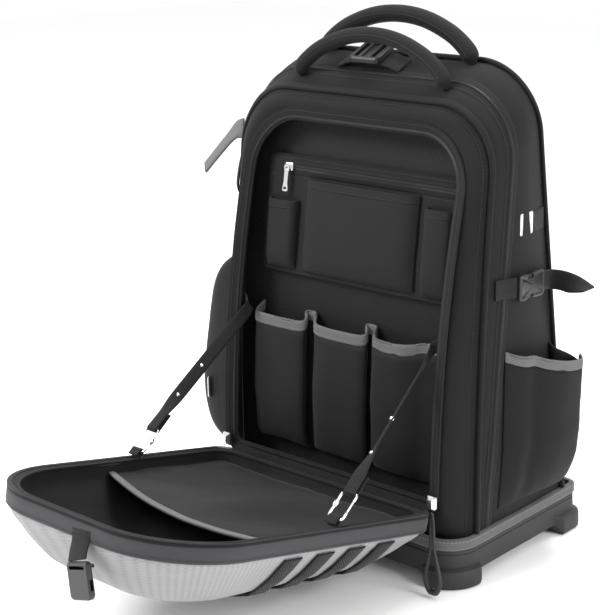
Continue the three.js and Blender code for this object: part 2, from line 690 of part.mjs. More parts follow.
// Tethers, snap hooks and the loops on the lid that they clip to, one set each side.
const HOOK_L = 32;
const HOOK_W = 20;
const WIRE = 2.4;
const GATE_L = 13;
const TETHER_X = OPEN_W / 2 - 6;
const TETHER_TOP_X = OPEN_W / 2 - 16;
const LOOP_R = WIRE * 0.72 + GAP + TETHER_T / 2;
const tetherTop = v3(TETHER_TOP_X, frontY(TETHER_Z) + 3, TETHER_Z);
const tilt = THREE.MathUtils.degToRad(LID_TILT);
const lidWorld = (x, v, w) => v3(
  x,
  HINGE_Y - v * Math.cos(tilt) + w * Math.sin(tilt),
  HINGE_Z + v * Math.sin(tilt) + w * Math.cos(tilt),
);
const loopSeat = lidWorld(TETHER_X, TETHER_V, LID_RIM_T + GAP * 7);
const pull = new THREE.Vector3().subVectors(tetherTop, loopSeat).setX(0).normalize();
const face = new THREE.Vector3().crossVectors(v3(1, 0, 0), pull);
const LOOP_STEM = 7;
const hookCentre = loopSeat.clone().addScaledVector(pull, LOOP_STEM + HOOK_L / 2);

function hookShape() {
  const half = HOOK_W / 2;
  const high = HOOK_L / 2;
  const corner = [[1, 1, 0], [-1, 1, 1], [-1, -1, 2], [1, -1, 3]];
  const ring = (inset, r) => corner.flatMap(([x, y, turn]) => [0, 1, 2, 3].map((i) => {
    const a = (turn + i / 3) * (Math.PI / 2);
    return new THREE.Vector2(
      x * (half - inset - r) + r * Math.cos(a),
      y * (high - inset - r) + r * Math.sin(a),
    );
  }));
  const shape = new THREE.Shape(ring(0, WIRE * 1.5));
  shape.holes.push(new THREE.Path(ring(WIRE, WIRE * 0.1)));
  const options = { depth: WIRE, bevelEnabled: false };
  return new THREE.ExtrudeGeometry(shape, options).translate(0, 0, -WIRE / 2);
}
const gateX = (HOOK_W - WIRE) / 2;
const hookCut = new THREE.BoxGeometry(WIRE * 2, GATE_L, WIRE * 2).translate(gateX, 0, 0);
const hookGeometry = fromManifold(toManifold(hookShape()).subtract(toManifold(hookCut)));
const GATE_T = WIRE * 0.75;
const GATE_FOOT = GAP * 1.8;
const gateRun = GATE_L - GAP - GATE_FOOT;
const gateGeometry = new THREE.BoxGeometry(GATE_T, gateRun, GATE_T)
  .translate(gateX, (GATE_FOOT - GAP) / 2, 0);

// Strap that runs to the bar, turns round it and is sewn back on itself.
const turnRound = (centre, from, side) => [0, 1, 2, 3, 4, 5, 6].map((i) => {
  const a = (i / 6) * Math.PI;
  return centre.clone()
    .addScaledVector(face, side * LOOP_R * Math.cos(a))
    .addScaledVector(from, -LOOP_R * Math.sin(a));
});
[['R', 1], ['L', -1]].forEach(([tag, side]) => {
  const mirrored = (p) => v3(p.x * side, p.y, p.z);
  const bar = (s) => hookCentre.clone().addScaledVector(pull, s * (HOOK_L / 2 - WIRE / 2));
  const top = bar(1);
  const low = bar(-1);
  const tail = 22;
  const tether = [
    v3(OPEN_W / 2 + 2, frontY(TETHER_Z) + CLOTH + TETHER_T * 2.1, TETHER_Z + 8),
    v3(OPEN_W / 2 - 6, frontY(TETHER_Z) + CLOTH + TETHER_T * 2.1, TETHER_Z + 6),
    v3(TETHER_TOP_X + 4, frontY(TETHER_Z) + CLOTH + TETHER_T, TETHER_Z + 4),
    tetherTop.clone().addScaledVector(pull, -4),
    ...[0.2, 0.45, 0.7, 0.88].map((s) => tetherTop.clone().lerp(top, s)
      .addScaledVector(face, LOOP_R * s)),
    ...turnRound(top, pull, 1),
    top.clone().addScaledVector(face, -LOOP_R).addScaledVector(pull, tail),
  ].map(mirrored);
  const twist = v3(0.67 * side, -0.43, 0.6);
  const flat = v3(side, 0, 0);
  const turns = [v3(0, 0, 1), v3(0, 0, 1), v3(0, -0.3, 0.95), v3(0.2 * side, -0.55, 0.8)];
  turns.push(twist, twist, twist, ...Array(tether.length - 7).fill(flat));
  add(`tether_${tag}`, ribbon(tether, TETHER_W, TETHER_T, ...turns), 'dark');

  const loop = [
    low.clone().addScaledVector(face, LOOP_R).addScaledVector(pull, -LOOP_STEM),
    ...turnRound(low, pull.clone().negate(), 1),
    low.clone().addScaledVector(face, -LOOP_R).addScaledVector(pull, -LOOP_STEM),
  ].map(mirrored);
  add(`lid_loop_${tag}`, ribbon(loop, TETHER_W - 1, TETHER_T, v3(side, 0, 0)), 'dark');

  const hook = new THREE.Group();
  hook.position.copy(mirrored(hookCentre));
  hook.quaternion.setFromRotationMatrix(new THREE.Matrix4().makeBasis(v3(1, 0, 0), pull, face));
  if (side < 0) hook.rotateY(Math.PI);
  root.add(hook);
  add(`snap_hook_${tag}`, hookGeometry, 'metal', hook);
  add(`hook_gate_${tag}`, gateGeometry, 'metal', hook);
});

// Height of the body's crown at a depth.
const crownAt = (y) => [0, 1, 2, 3].reduce((z) => (
  BODY_TOP + TOP_RISE * depthShare(y, z) + swellAt(y, z)
), BODY_TOP);

// Padded tube that rises and falls across the body's width, with a share of its radius for each share along it.
function padTube(points, radius, fullness, sides, steps) {
  const path = new THREE.CatmullRomCurve3(points);
  const across = v3(0, 1, 0);
  const rings = [];
  for (let i = 0; i <= steps; i += 1) {
    const centre = path.getPointAt(i / steps);
    const up = new THREE.Vector3().crossVectors(path.getTangentAt(i / steps), across);
    const r = radius * fullness(i / steps);
    rings.push(Array.from({ length: sides }, (_, j) => {
      const a = (j / sides) * Math.PI * 2;
      return centre.clone()
        .addScaledVector(across, r * Math.cos(a))
        .addScaledVector(up, r * Math.sin(a));
    }));
  }
  return ringLoft(rings, false);
}

// Padded carry handles on the crown of the body, one behind the other, pinched at their ends.
const handlePath = [
  [-1, 0], [-0.985, 0.12], [-0.92, 0.32], [-0.7, 0.64], [-0.36, 0.91], [0, 1],
  [0.36, 0.91], [0.7, 0.64], [0.92, 0.32], [0.985, 0.12], [1, 0],
];
const HANDLE_PINCH = 0.42;
const handleFullness = (s) => mix(HANDLE_PINCH, 1, smooth(Math.min(s, 1 - s) / 0.13));
const HANDLE_LEAN = 4;
function handle(name, y, height, radius, seat) {
  const slope = crownAt(y + 3) - crownAt(y);
  const foot = crownAt(y) + (radius * HANDLE_PINCH * slope) / 3 + seat;
  const points = handlePath.map(([s, h]) => (
    v3((s * HANDLE_SPAN) / 2, y + HANDLE_LEAN * h, foot + height * h)
  ));
  add(name, padTube(points, radius, handleFullness, 8, 22), 'dark');
}
const HANDLE_FRONT_Y = 69;
const HANDLE_REAR_Y = 114;
handle('handle_front', HANDLE_FRONT_Y, FRONT_HANDLE_RISE, HANDLE_R, GAP * 4);
handle('handle_rear', HANDLE_REAR_Y, REAR_HANDLE_RISE, HANDLE_R + 1, GAP * 1.4);

// Top strap between the handles with its ladder buckle.
const TOP_STRAP_X = -16;
const TOP_STRAP_L = 84;
const topStrapY = mix(HANDLE_FRONT_Y, HANDLE_REAR_Y, 0.6);
const crownSlope = Math.atan2(crownAt(topStrapY + 8) - crownAt(topStrapY - 8), 16);
const crownUp = v3(0, -Math.sin(crownSlope), Math.cos(crownSlope));
const topStrapX = [-0.5, -0.42, -0.3, -0.1, 0.1, 0.3, 0.42, 0.5];
const topStrapRise = [0, 0.3, 0.8, 1, 1, 0.8, 0.3, 0];
const TOP_STRAP_RISE = 8;
const onCrown = (x, lift) => v3(x, topStrapY, crownAt(topStrapY)).addScaledVector(crownUp, lift);
const crownSeat = GAP * 4;
add('top_strap', ribbon(topStrapX.map((s, i) => onCrown(
  TOP_STRAP_X + s * TOP_STRAP_L,
  crownSeat + WEB_T / 2 + topStrapRise[i] * TOP_STRAP_RISE,
)), WEB, WEB_T, v3(0, Math.cos(crownSlope), Math.sin(crownSlope))), 'dark');

function slotted(width, length, thickness, slots, slotLength) {
  const shape = new THREE.Shape();
  const r = width / 8;
  const edge = Math.min(4, width / 3.5);
  const a = width / 2;
  const b = length / 2;
  shape.moveTo(-a + r, -b);
  shape.lineTo(a - r, -b);
  shape.lineTo(a, -b + r);
  shape.lineTo(a, b - r);
  shape.lineTo(a - r, b);
  shape.lineTo(-a + r, b);
  shape.lineTo(-a, b - r);
  shape.lineTo(-a, -b + r);
  shape.closePath();
  slots.forEach((y) => {
    const hole = new THREE.Path();
    hole.moveTo(-a + edge, y - slotLength / 2);
    hole.lineTo(-a + edge, y + slotLength / 2);
    hole.lineTo(a - edge, y + slotLength / 2);
    hole.lineTo(a - edge, y - slotLength / 2);
    hole.closePath();
    shape.holes.push(hole);
  });
  const options = { depth: thickness, bevelEnabled: false };
  return new THREE.ExtrudeGeometry(shape, options).translate(0, 0, -thickness / 2);
}
const BUCKLE_T = 7;
const BUCKLE_W = WEB + 9;
const topBuckle = add(
  'top_buckle',
  slotted(BUCKLE_W, 40, BUCKLE_T, [-12, 10], 6),
  'plastic',
);
topBuckle.rotation.set(crownSlope, 0, 0);
topBuckle.rotateZ(Math.PI / 2);
const topBuckleRise = crownSeat + TOP_STRAP_RISE + WEB_T + GAP + BUCKLE_T / 2;
topBuckle.position.copy(onCrown(TOP_STRAP_X + 2, topBuckleRise));

// Strap loop and hanging buckle half at the middle of the lid's outer end.
const HANG_X = 26;
const HANG_ASIDE = 0.28;
const endStrap = [[0, 0, -6], [1, 0, -14], [4, 4, -23], [7, 7, -31]].map(([x, out, w]) => (
  lidWorld(HANG_X + x, LID_L + GAP + WEB_T / 2 + out, w)
));
const hangAcross = v3(Math.cos(HANG_ASIDE), 0, Math.sin(HANG_ASIDE));
add('lid_strap', ribbon(endStrap, WEB, WEB_T, v3(1, 0, 0), hangAcross, hangAcross), 'dark');
const LID_BUCKLE_L = 34;
const lidBuckle = add('lid_buckle', slotted(WEB + 5, LID_BUCKLE_L, BUCKLE_T, [9], 6), 'plastic');
const hangDown = v3(Math.sin(HANG_ASIDE), 0, -Math.cos(HANG_ASIDE));
lidBuckle.rotation.x = Math.PI / 2 - 0.12;
lidBuckle.rotateOnWorldAxis(v3(0, 1, 0), -HANG_ASIDE);
lidBuckle.position.copy(endStrap[3])
  .addScaledVector(hangDown, LID_BUCKLE_L / 2 + GAP * 5)
  .add(v3(0, -1, 0));

// Sliders of the front zip, parked at both lower corners of the opening.
const SLIDER = { w: 11, l: 16, t: 6 };
const sliderX = OPEN_W / 2 + 2;
const sliderY = rimBack - GAP * 2 - RIM_T - RIM_FLARE - SLIDER.t / 2;
const sliderZ = OPEN_BOTTOM + SLIDER.l / 2;
const sliderGeometry = () => slotted(SLIDER.w, SLIDER.l, SLIDER.t, [], 0);
[['R', 1], ['L', -1]].forEach(([tag, side]) => {
  const slider = add(`front_slider_${tag}`, sliderGeometry(), 'metal');
  slider.rotation.x = Math.PI / 2;
  slider.position.set(side * sliderX, sliderY, sliderZ);
});

// Cord loop with a rubber grip that hangs from the right slider.
const PULL_R = 1.7;
const PULL_L = 79;
const PULL_ASIDE = 12;
const PULL_OUT = 13;
const pullTop = sliderZ - SLIDER.l / 2 - GAP - PULL_R;
const pullShape = [[0, 0], [2, 0.18], [2.5, 0.45], [6, 0.64], [9, 0.84], [5, 0.98], [0, 1],
  [-5, 0.98], [-9, 0.84], [-6, 0.64], [-2.5, 0.45], [-2, 0.18]];
add('front_pull_R', tube(pullShape.map(([x, h]) => (
  v3(sliderX + 2 + x + PULL_ASIDE * h, sliderY - 1 - PULL_OUT * h, pullTop - h * PULL_L)
)), PULL_R, 6, 26, true), 'rubber');

// Slider and pull tab of the organiser's zip.
const tabX = INNER_ZIP_X0 - 4;
const tabSlider = add('inner_slider', slotted(9, 12, 4, [], 0), 'metal');
const zipFace = boardFace + MAIN_ZIP_T;
const sliderPlace = onPanel(tabX, zipFace + GAP + 2, INNER_ZIP_Z);
const boardSlope = Math.atan2(panelY(BOARD_HIGH) - panelY(BOARD_HIGH - 40), 40);
tabSlider.rotation.set(Math.PI / 2 - boardSlope, 0, 0);
tabSlider.rotateZ(Math.PI / 2);
tabSlider.position.copy(sliderPlace);
const TAB_L = 30;
const TAB_T = 1.4;
const innerTab = add('inner_tab', slotted(7, TAB_L, TAB_T, [-9], 7), 'metal');
const hang = v3(0, -Math.sin(boardSlope), -Math.cos(boardSlope));
innerTab.rotation.set(Math.PI / 2 - boardSlope, 0, 0);
innerTab.position.copy(sliderPlace)
  .addScaledVector(hang, TAB_L / 2 - 3)
  .add(v3(0, -2 - GAP * 2 - TAB_T / 2, 0));

// Bellows side pocket on the right, open at the top and bound in grey.
const sidePoint = (side, y, z, out) => v3(side * (HALF_W + swellAt(y, z) + out), y, z);
const SIDE_POCKET_Y0 = 74;
const SIDE_POCKET_Y1 = 164;
const SIDE_POCKET_LOW = 58;
const SIDE_POCKET_HIGH = 222;
const SIDE_POCKET_OUT = 38;
const SIDE_POCKET_FALL = 22;
const SIDE_T = 2.4;
const sidePath = [
  [0, 0], [0.05, 0.1], [0.2, 0.3], [0.34, 0.36], [0.48, 0.58], [0.72, 0.84], [0.95, 0.97],
  [1.06, 0.98], [1.11, 0.86], [1.08, 0.55], [0.97, 0.2], [0.98, 0],
].map(([s, h]) => [mix(SIDE_POCKET_Y0, SIDE_POCKET_Y1, s), h * SIDE_POCKET_OUT]);
const sideSeat = SIDE_T / 2 + GAP * 2;
const onRight = (y, h, z) => {
  const level = (z - SIDE_POCKET_LOW) / (SIDE_POCKET_HIGH - SIDE_POCKET_LOW);
  return sidePoint(1, y, z - SIDE_POCKET_FALL * (h / SIDE_POCKET_OUT) * level, sideSeat + h);
};
add('side_pocket', pathSheet(sidePath, [
  [SIDE_POCKET_LOW, 0.12],
  [mix(SIDE_POCKET_LOW, SIDE_POCKET_HIGH, 0.08), 0.5],
  [mix(SIDE_POCKET_LOW, SIDE_POCKET_HIGH, 0.3), 0.86],
  [mix(SIDE_POCKET_LOW, SIDE_POCKET_HIGH, 0.65), 0.97],
  [SIDE_POCKET_HIGH, 1],
], SIDE_T, onRight), 'dark');
add('side_pocket_binding', pathSheet(sidePath.slice(0, 9), [
  [SIDE_POCKET_HIGH + GAP, 1],
  [SIDE_POCKET_HIGH + GAP + TOOL_BIND_H, 1],
], TOOL_BIND_T, onRight), 'binding');

// Compression strap across the right side, with its side-release buckle and loose end.
const STRAP_Z = 300;
const strapY = { sewn: 56, in: 84, out: 128, fold: 150 };
const onSide = (y, z, out) => sidePoint(1, y, z, out + GAP + MAIN_ZIP_T + WEB_T);
add('side_strap', ribbon([
  onSide(strapY.sewn, STRAP_Z, -0.2),
  onSide(mix(strapY.sewn, strapY.in, 0.5), STRAP_Z, 0),
  onSide(strapY.in - GAP - 1, STRAP_Z - 1, 3),
], WEB, WEB_T, v3(0, 0, 1)), 'dark');
const SIDE_BUCKLE_L = strapY.out - strapY.in;
const sideBuckle = add(
  'side_buckle',
  slotted(WEB + 3, SIDE_BUCKLE_L, BUCKLE_T, [], 0),
  'plastic',
);
sideBuckle.rotation.set(0, Math.PI / 2, 0);
sideBuckle.position.copy(onSide((strapY.in + strapY.out) / 2, STRAP_Z - 2, BUCKLE_T / 2));
add('side_strap_end', ribbon([
  onSide(strapY.out + GAP + 1, STRAP_Z - 3, 3),
  onSide(mix(strapY.out, strapY.fold, 0.6), STRAP_Z - 4, 3),
  onSide(strapY.fold, STRAP_Z - 5, 6),
  onSide(strapY.fold + 2, STRAP_Z - 5, 18),
  onSide(strapY.fold - 1, STRAP_Z - 6, 34),
  onSide(strapY.fold - 2, STRAP_Z - 8, 52),
], WEB - 4, WEB_T, v3(0, 0, 1), v3(0, 0, 1), v3(-0.3, 0.4, 0.9), v3(-0.5, 0.8, 0.1)), 'dark');

// Metal clip plate on a webbing tab, high on the right side.
const CLIP_Z = 362;
const clipY = { plate0: 92, plate1: 116, tab1: 142 };
add('clip_tab', ribbon([
  onSide(clipY.plate1 + GAP, CLIP_Z, -2.2),
  onSide(mix(clipY.plate1, clipY.tab1, 0.5), CLIP_Z, -1.9),
  onSide(clipY.tab1, CLIP_Z, -2.1),
], WEB, WEB_T, v3(0, 0, 1)), 'dark');
const clip = add(
  'clip_plate',
  slotted(WEB - 2, clipY.plate1 - clipY.plate0, 2, [], 0),
  'metal',
);
clip.rotation.set(0, Math.PI / 2, 0);
clip.position.copy(onSide((clipY.plate0 + clipY.plate1) / 2, CLIP_Z, -2.4));

// Zipped pouch that bulges from the lower left side.
const POUCH_Y0 = 50;
const POUCH_Y1 = 150;
const POUCH_OUT = 86;
const POUCH_T = 2.6;
const POUCH_HIGH = 284;
const pouchPath = [
  [0, 0], [0.03, 0.5], [0.1, 0.82], [0.22, 0.95], [0.45, 1], [0.72, 1], [0.88, 0.93],
  [0.96, 0.76], [0.99, 0.45], [1, 0],
].map(([s, h]) => [mix(POUCH_Y1, POUCH_Y0, s), h * POUCH_OUT]);
const pouchSeat = POUCH_T / 2 + GAP + zipSeat + MAIN_ZIP_T;
const onLeft = (y, h, z) => sidePoint(-1, y, z, pouchSeat + h);
add('side_pouch', pathSheet(pouchPath, [
  [0, 0.04], [0.02, 0.62], [0.1, 0.93], [0.26, 1], [0.45, 0.95], [0.65, 0.84], [0.82, 0.7],
  [0.92, 0.52], [0.98, 0.28], [1, 0.04],
].map(([s, h]) => [mix(BOOT_TOP + 4, POUCH_HIGH, s), h]), POUCH_T, onLeft), 'dark');
const pouchSlider = add('pouch_slider', slotted(9, 26, 3, [-6], 8), 'metal');
pouchSlider.rotation.set(Math.PI / 2, 0, 0);
pouchSlider.position.set(-HALF_W - POUCH_OUT * 0.78, POUCH_Y0 - 0.1, 114);

// Stiff webbing tab and cord pull high on the left side.
const TAB_Z = BODY_TOP - 50;
const tabTop = v3(-HALF_W - PIPING_R * 2 - 6.5, seamY(TAB_Z) + 10, TAB_Z);
add('side_tab', ribbon([
  tabTop,
  tabTop.clone().add(v3(-10, -3, -5)),
  tabTop.clone().add(v3(-26, -11, -25)),
  tabTop.clone().add(v3(-43, -20, -48)),
], WEB, WEB_T + 1, v3(0.2, 0.55, 0.8)), 'binding');
const CORD_Z = BODY_TOP - 80;
const cordTop = v3(-HALF_W - 5.4, seamY(CORD_Z) + 5.6, CORD_Z);
const cordShape = [[0, 0], [4, -0.3], [6, -0.7], [3, -0.97], [-2, -1], [-6, -0.75], [-4, -0.3]];
add('side_pull', tube(cordShape.map(([y, h]) => (
  cordTop.clone().add(v3(-2 + h * 4, y, h * 42))
)), PULL_R, 6, 18, true), 'rubber');

// Shoulder straps on the wearer's side.
const strapFace = (z) => rearY(z) + BACK_PAD + GAP + SHOULDER_T / 2 + 0.6;
const shoulderPath = [
  [1, 0, 0], [0.9, 0.3, 0.1], [0.7, 0.85, 0.25], [0.45, 1, 0.5], [0.2, 0.8, 0.8], [0, 0.35, 1],
];
[['R', 1], ['L', -1]].forEach(([tag, side]) => {
  const points = shoulderPath.map(([up, out, aside]) => {
    const z = mix(SHOULDER_BOTTOM, SHOULDER_TOP, up);
    return v3(side * (SHOULDER_X + aside * 34), strapFace(z) + out * SHOULDER_OUT, z);
  });
  const pad = ribbon(points, SHOULDER_W, SHOULDER_T, v3(1, 0, 0));
  const end = points[points.length - 1];
  const web = ribbon([
    end.clone().add(v3(0, 0, 6)),
    end.clone().add(v3(side * 14, 0, -30)),
    v3(side * (HALF_W - 22), rearY(70) + BACK_PAD + GAP * 2 + WEB_T, 70),
  ], WEB, WEB_T, v3(1, 0, 0.3 * side));
  add(`shoulder_strap_${tag}`, joined(pad, web), 'dark');
});

// The origin is the middle of the whole part's underside.
root.updateMatrixWorld(true);
const extent = new THREE.Box3().setFromObject(root, true);
const middle = extent.getCenter(v3(0, 0, 0));
root.position.set(-middle.x, -middle.y, -extent.min.z);

export default root;
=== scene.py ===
"""Tool backpack standing open: the stiff grey lid is zipped off and let down on two tethers, and
the pockets inside show. Lengths in the sections are in millimetres, measured as on the pattern:
x from the pack's middle, y back from the opening's lower edge, z up from 10 above the floor."""
import math

import bmesh
import bpy
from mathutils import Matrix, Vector, noise


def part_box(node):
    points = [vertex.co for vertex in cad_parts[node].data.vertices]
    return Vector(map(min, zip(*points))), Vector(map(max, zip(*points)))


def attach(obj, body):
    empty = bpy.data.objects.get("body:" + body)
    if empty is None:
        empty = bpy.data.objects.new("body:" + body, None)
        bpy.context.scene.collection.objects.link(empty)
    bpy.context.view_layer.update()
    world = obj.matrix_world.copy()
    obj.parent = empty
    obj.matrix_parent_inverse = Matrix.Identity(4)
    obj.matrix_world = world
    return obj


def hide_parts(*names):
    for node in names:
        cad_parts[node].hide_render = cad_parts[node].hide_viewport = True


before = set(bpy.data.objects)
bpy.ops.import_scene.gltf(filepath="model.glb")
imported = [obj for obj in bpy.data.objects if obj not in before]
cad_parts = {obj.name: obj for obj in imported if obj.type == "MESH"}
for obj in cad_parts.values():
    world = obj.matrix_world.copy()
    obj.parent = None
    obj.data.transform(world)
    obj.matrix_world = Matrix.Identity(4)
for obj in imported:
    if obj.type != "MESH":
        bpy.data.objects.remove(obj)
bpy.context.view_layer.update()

# Camera: the photograph's view, from the front right and a little above, with the pack set
# off the middle of the frame.
camera = bpy.data.objects.new("camera", bpy.data.cameras.new("camera"))
bpy.context.collection.objects.link(camera)
camera.location = (1.02449, -1.05563, 0.69855)
camera.rotation_euler = (math.radians(74.89), 0, math.radians(39.318))
camera.data.lens = 87.25
camera.data.shift_x = -0.1437
camera.data.shift_y = -0.0244
bpy.context.scene.camera = camera

# Studio: a white floor under an even white sky, one large soft lamp high on the left of the
# camera, a weaker one on its right and one above and behind for the crown and handles.
world = bpy.data.worlds.new("studio sky")
world.use_nodes = True
world.node_tree.nodes["Background"].inputs["Color"].default_value = (1.0, 1.0, 1.0, 1)
world.node_tree.nodes["Background"].inputs["Strength"].default_value = 1.0
bpy.context.scene.world = world
bpy.context.scene.view_settings.view_transform = "Standard"


def lamp(name, place, aim, size, watts):
    light = bpy.data.lights.new(name, "AREA")
    light.shape = "DISK"
    light.size = size
    light.energy = watts
    holder = bpy.data.objects.new(name, light)
    bpy.context.collection.objects.link(holder)
    holder.location = place
    holder.rotation_euler = (Vector(aim) - Vector(place)).to_track_quat("-Z", "Y").to_euler()


lamp("lamp high left", (-1.1, -1.5, 2.0), (0.0, 0.0, 0.25), 1.1, 60)
lamp("lamp right", (2.2, 0.2, 1.3), (0.1, 0.15, 0.3), 1.0, 30)
lamp("lamp top", (0.1, 0.7, 2.2), (0.0, 0.15, 0.4), 0.9, 26)

floor_mesh = bpy.data.meshes.new("floor")
floor_mesh.from_pydata([(-6, -6, 0), (6, -6, 0), (6, 6, 0), (-6, 6, 0)], [], [(0, 1, 2, 3)])
floor = bpy.data.objects.new("floor", floor_mesh)
bpy.context.collection.objects.link(floor)
paper = bpy.data.materials.new("pale paper")
paper.use_nodes = True
paper.node_tree.nodes["Principled BSDF"].inputs["Base Color"].default_value = (0.97, 0.97, 0.97, 1)
paper.node_tree.nodes["Principled BSDF"].inputs["Roughness"].default_value = 0.9
floor_mesh.materials.append(paper)

# Body pattern: every panel of the pack is cut to these curves. The opening leans back towards
# the top, the seam behind it leans less, and the wearer's side leans forward.
FRONT_LOW, FRONT_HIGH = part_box("front_border")
MIDDLE_X = (FRONT_LOW[0] + FRONT_HIGH[0]) / 2
FRONT_Y = FRONT_LOW[1]
FEET = 10
HALF_W = 168
BODY_LOW, BODY_TOP = 6.3, 480
TOP_RISE, RISE_FROM = 38, 250
TOP_CORNER_R, LOW_CORNER_R = 66, 32
OPEN_HALF, OPEN_LOW, OPEN_HIGH = 145, 78, 456
FINE = 5


def at(x, y, z):
    return Vector((MIDDLE_X + x / 1000, FRONT_Y + y / 1000, (z + FEET) / 1000))


def mix(a, b, s):
    return a + (b - a) * s


def clamp01(s):
    return min(max(s, 0.0), 1.0)


def ease(s):
    s = clamp01(s)
    return s * s * (3 - 2 * s)


def outline(half, low, high, top_r, low_r, fine=FINE):
    """Rounded outline, anticlockwise from its lower left, as (x, z, outward x, outward z)."""
    points = []

    def line(x0, z0, x1, z1, count, nx, nz):
        for i in range(count * fine):
            s = i / (count * fine)
            points.append((mix(x0, x1, s), mix(z0, z1, s), nx, nz))

    def arc(cx, cz, r, start, count):
        for i in range(count * fine):
            a = start + math.pi / 2 * i / (count * fine)
            points.append((cx + r * math.cos(a), cz + r * math.sin(a), math.cos(a), math.sin(a)))

    line(-half + low_r, low, half - low_r, low, 4, 0, -1)
    arc(half - low_r, low + low_r, low_r, -math.pi / 2, 3)
    line(half, low + low_r, half, high - top_r, 6, 1, 0)
    arc(half - top_r, high - top_r, top_r, 0, 6)
    line(half - top_r, high, -half + top_r, high, 4, 0, 1)
    arc(-half + top_r, high - top_r, top_r, math.pi / 2, 6)
    line(-half, high - top_r, -half, low + low_r, 6, -1, 0)
    arc(-half + low_r, low + low_r, low_r, math.pi, 3)
    return points


def rise(z):
    return clamp01((z - OPEN_LOW) / (OPEN_HIGH - OPEN_LOW))


def front_y(z):
    return 54 * rise(z) ** 2


def seam_y(z):
    return 35 + 20 * rise(z) ** 2


def rear_y(z):
    return 208 - 0.155 * z


def panel_y(z):
    return 39 + 36 * rise(z) ** 2


def zip_y(z):
    return 55 + 26 * rise(z)


def depth_share(y, z):
    return clamp01((y - seam_y(z)) / (rear_y(z) - seam_y(z)))


def swell(y, z):
    return 8 * math.sin(math.pi * depth_share(y, z)) * clamp01((z - 38.3) / 90)


body_edge = outline(HALF_W, BODY_LOW, BODY_TOP, TOP_CORNER_R, LOW_CORNER_R)
open_edge = outline(OPEN_HALF, OPEN_LOW, OPEN_HIGH, 60, 16)


def body_point(spot, offset, depth):
    """The outline moved out; the arch stands taller to the rear and swells between its seams."""
    x, z, nx, nz = spot
    z += nz * offset
    upper = clamp01((z - RISE_FROM) / (BODY_TOP - TOP_CORNER_R - RISE_FROM))
    z += TOP_RISE * depth_share(depth(z), z) * upper
    y = depth(z)
    bulge = swell(y, z)
    return Vector((x + nx * (offset + bulge), y, z + nz * bulge))


def body_ring(offset, depth):
    return [body_point(spot, offset, depth) for spot in body_edge]


def face_ring(share, offset, depth):
    ring = []
    for (x0, z0, nx0, nz0), (x1, z1, nx1, nz1) in zip(open_edge, body_edge):
        x = mix(x0, x1, share) + mix(nx0, nx1, share) * offset
        z = mix(z0, z1, share) + mix(nz0, nz1, share) * offset
        ring.append(Vector((x, depth(z), z)))
    return ring


def face_outward(mesh):
    """Turns every face of a closed mesh outward."""
    work = bmesh.new()
    work.from_mesh(mesh)
    bmesh.ops.recalc_face_normals(work, faces=work.faces)
    work.to_mesh(mesh)
    work.free()


def loft(name, rings, wrap=True, hoop=False, cap=True, ripple=None, sharp=38):
    """Skin over rings of points; ripple=(height, size, seed) lets the cloth wander a little."""
    n = len(rings[0])
    across = [0.0]
    for i in range(1, n + 1):
        across.append(across[-1] + (rings[0][i % n] - rings[0][i - 1]).length / 1000)
    along = [0.0]
    for i in range(1, len(rings) + 1):
        along.append(along[-1] + (rings[i % len(rings)][0] - rings[i - 1][0]).length / 1000)
    vertices = [p for ring in rings for p in ring]
    faces, marks = [], []
    for i in range(len(rings) if hoop else len(rings) - 1):
        i2 = (i + 1) % len(rings)
        for j in range(n if wrap else n - 1):
            k = (j + 1) % n
            faces.append((i * n + j, i * n + k, i2 * n + k, i2 * n + j))
            u0, u1, v0, v1 = across[j], across[j + 1], along[i], along[i + 1]
            marks.append(((u0, v0), (u1, v0), (u1, v1), (u0, v1)))
    if cap and wrap and not hoop:
        for i, turn in ((0, 1), (len(rings) - 1, -1)):
            middle = sum(rings[i], Vector((0, 0, 0))) / n
            vertices.append(middle)
            c = len(vertices) - 1
            for j in range(n):
                k = (j + 1) % n
                a, b = (k, j) if turn > 0 else (j, k)
                faces.append((c, i * n + a, i * n + b))
                marks.append(tuple(
                    ((p - middle).dot(Vector((0.9, 0.3, 0.2))) / 1000, p.z / 1000)
                    for p in (middle, rings[i][a], rings[i][b])))
    mesh = bpy.data.meshes.new(name)
    mesh.from_pydata([at(*p) for p in vertices], [], faces)
    layer = mesh.uv_layers.new(name="pattern")
    for face, mark in zip(mesh.polygons, marks):
        for loop, uv in zip(face.loop_indices, mark):
            layer.data[loop].uv = uv
    if wrap and (cap or hoop):
        face_outward(mesh)
    if ripple:
        height, size, seed = ripple
        normals = [v.normal.copy() for v in mesh.vertices]
        for v, normal in zip(mesh.vertices, normals):
            wave = noise.noise(v.co * (1000 / size) + Vector((seed, seed * 0.37, -seed)))
            fine_wave = noise.noise(v.co * (2600 / size) - Vector((seed, 0, seed)))
            v.co += normal * (wave + 0.35 * fine_wave) * height / 1000
    mesh.polygons.foreach_set("use_smooth", [True] * len(mesh.polygons))
    mesh.set_sharp_from_angle(angle=math.radians(sharp))
    piece = bpy.data.objects.new(name, mesh)
    bpy.context.collection.objects.link(piece)
    return piece


def settle(piece):
    """Works the piece's modifiers into its mesh."""
    bpy.context.view_layer.update()
    graph = bpy.context.evaluated_depsgraph_get()
    mesh = bpy.data.meshes.new_from_object(piece.evaluated_get(graph), depsgraph=graph)
    piece.modifiers.clear()
    piece.data = mesh
    return piece


def thicken(piece, thickness, offset=-1.0):
    solidify = piece.modifiers.new("thickness", "SOLIDIFY")
    solidify.thickness = thickness / 1000
    solidify.offset = offset
    return settle(piece)


def finish_piece(piece, material, slot, *nodes, body="pack"):
    piece.data.materials.clear()
    piece.data.materials.append(material)
    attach(piece, body)
    if nodes:
        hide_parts(*nodes)
    return piece


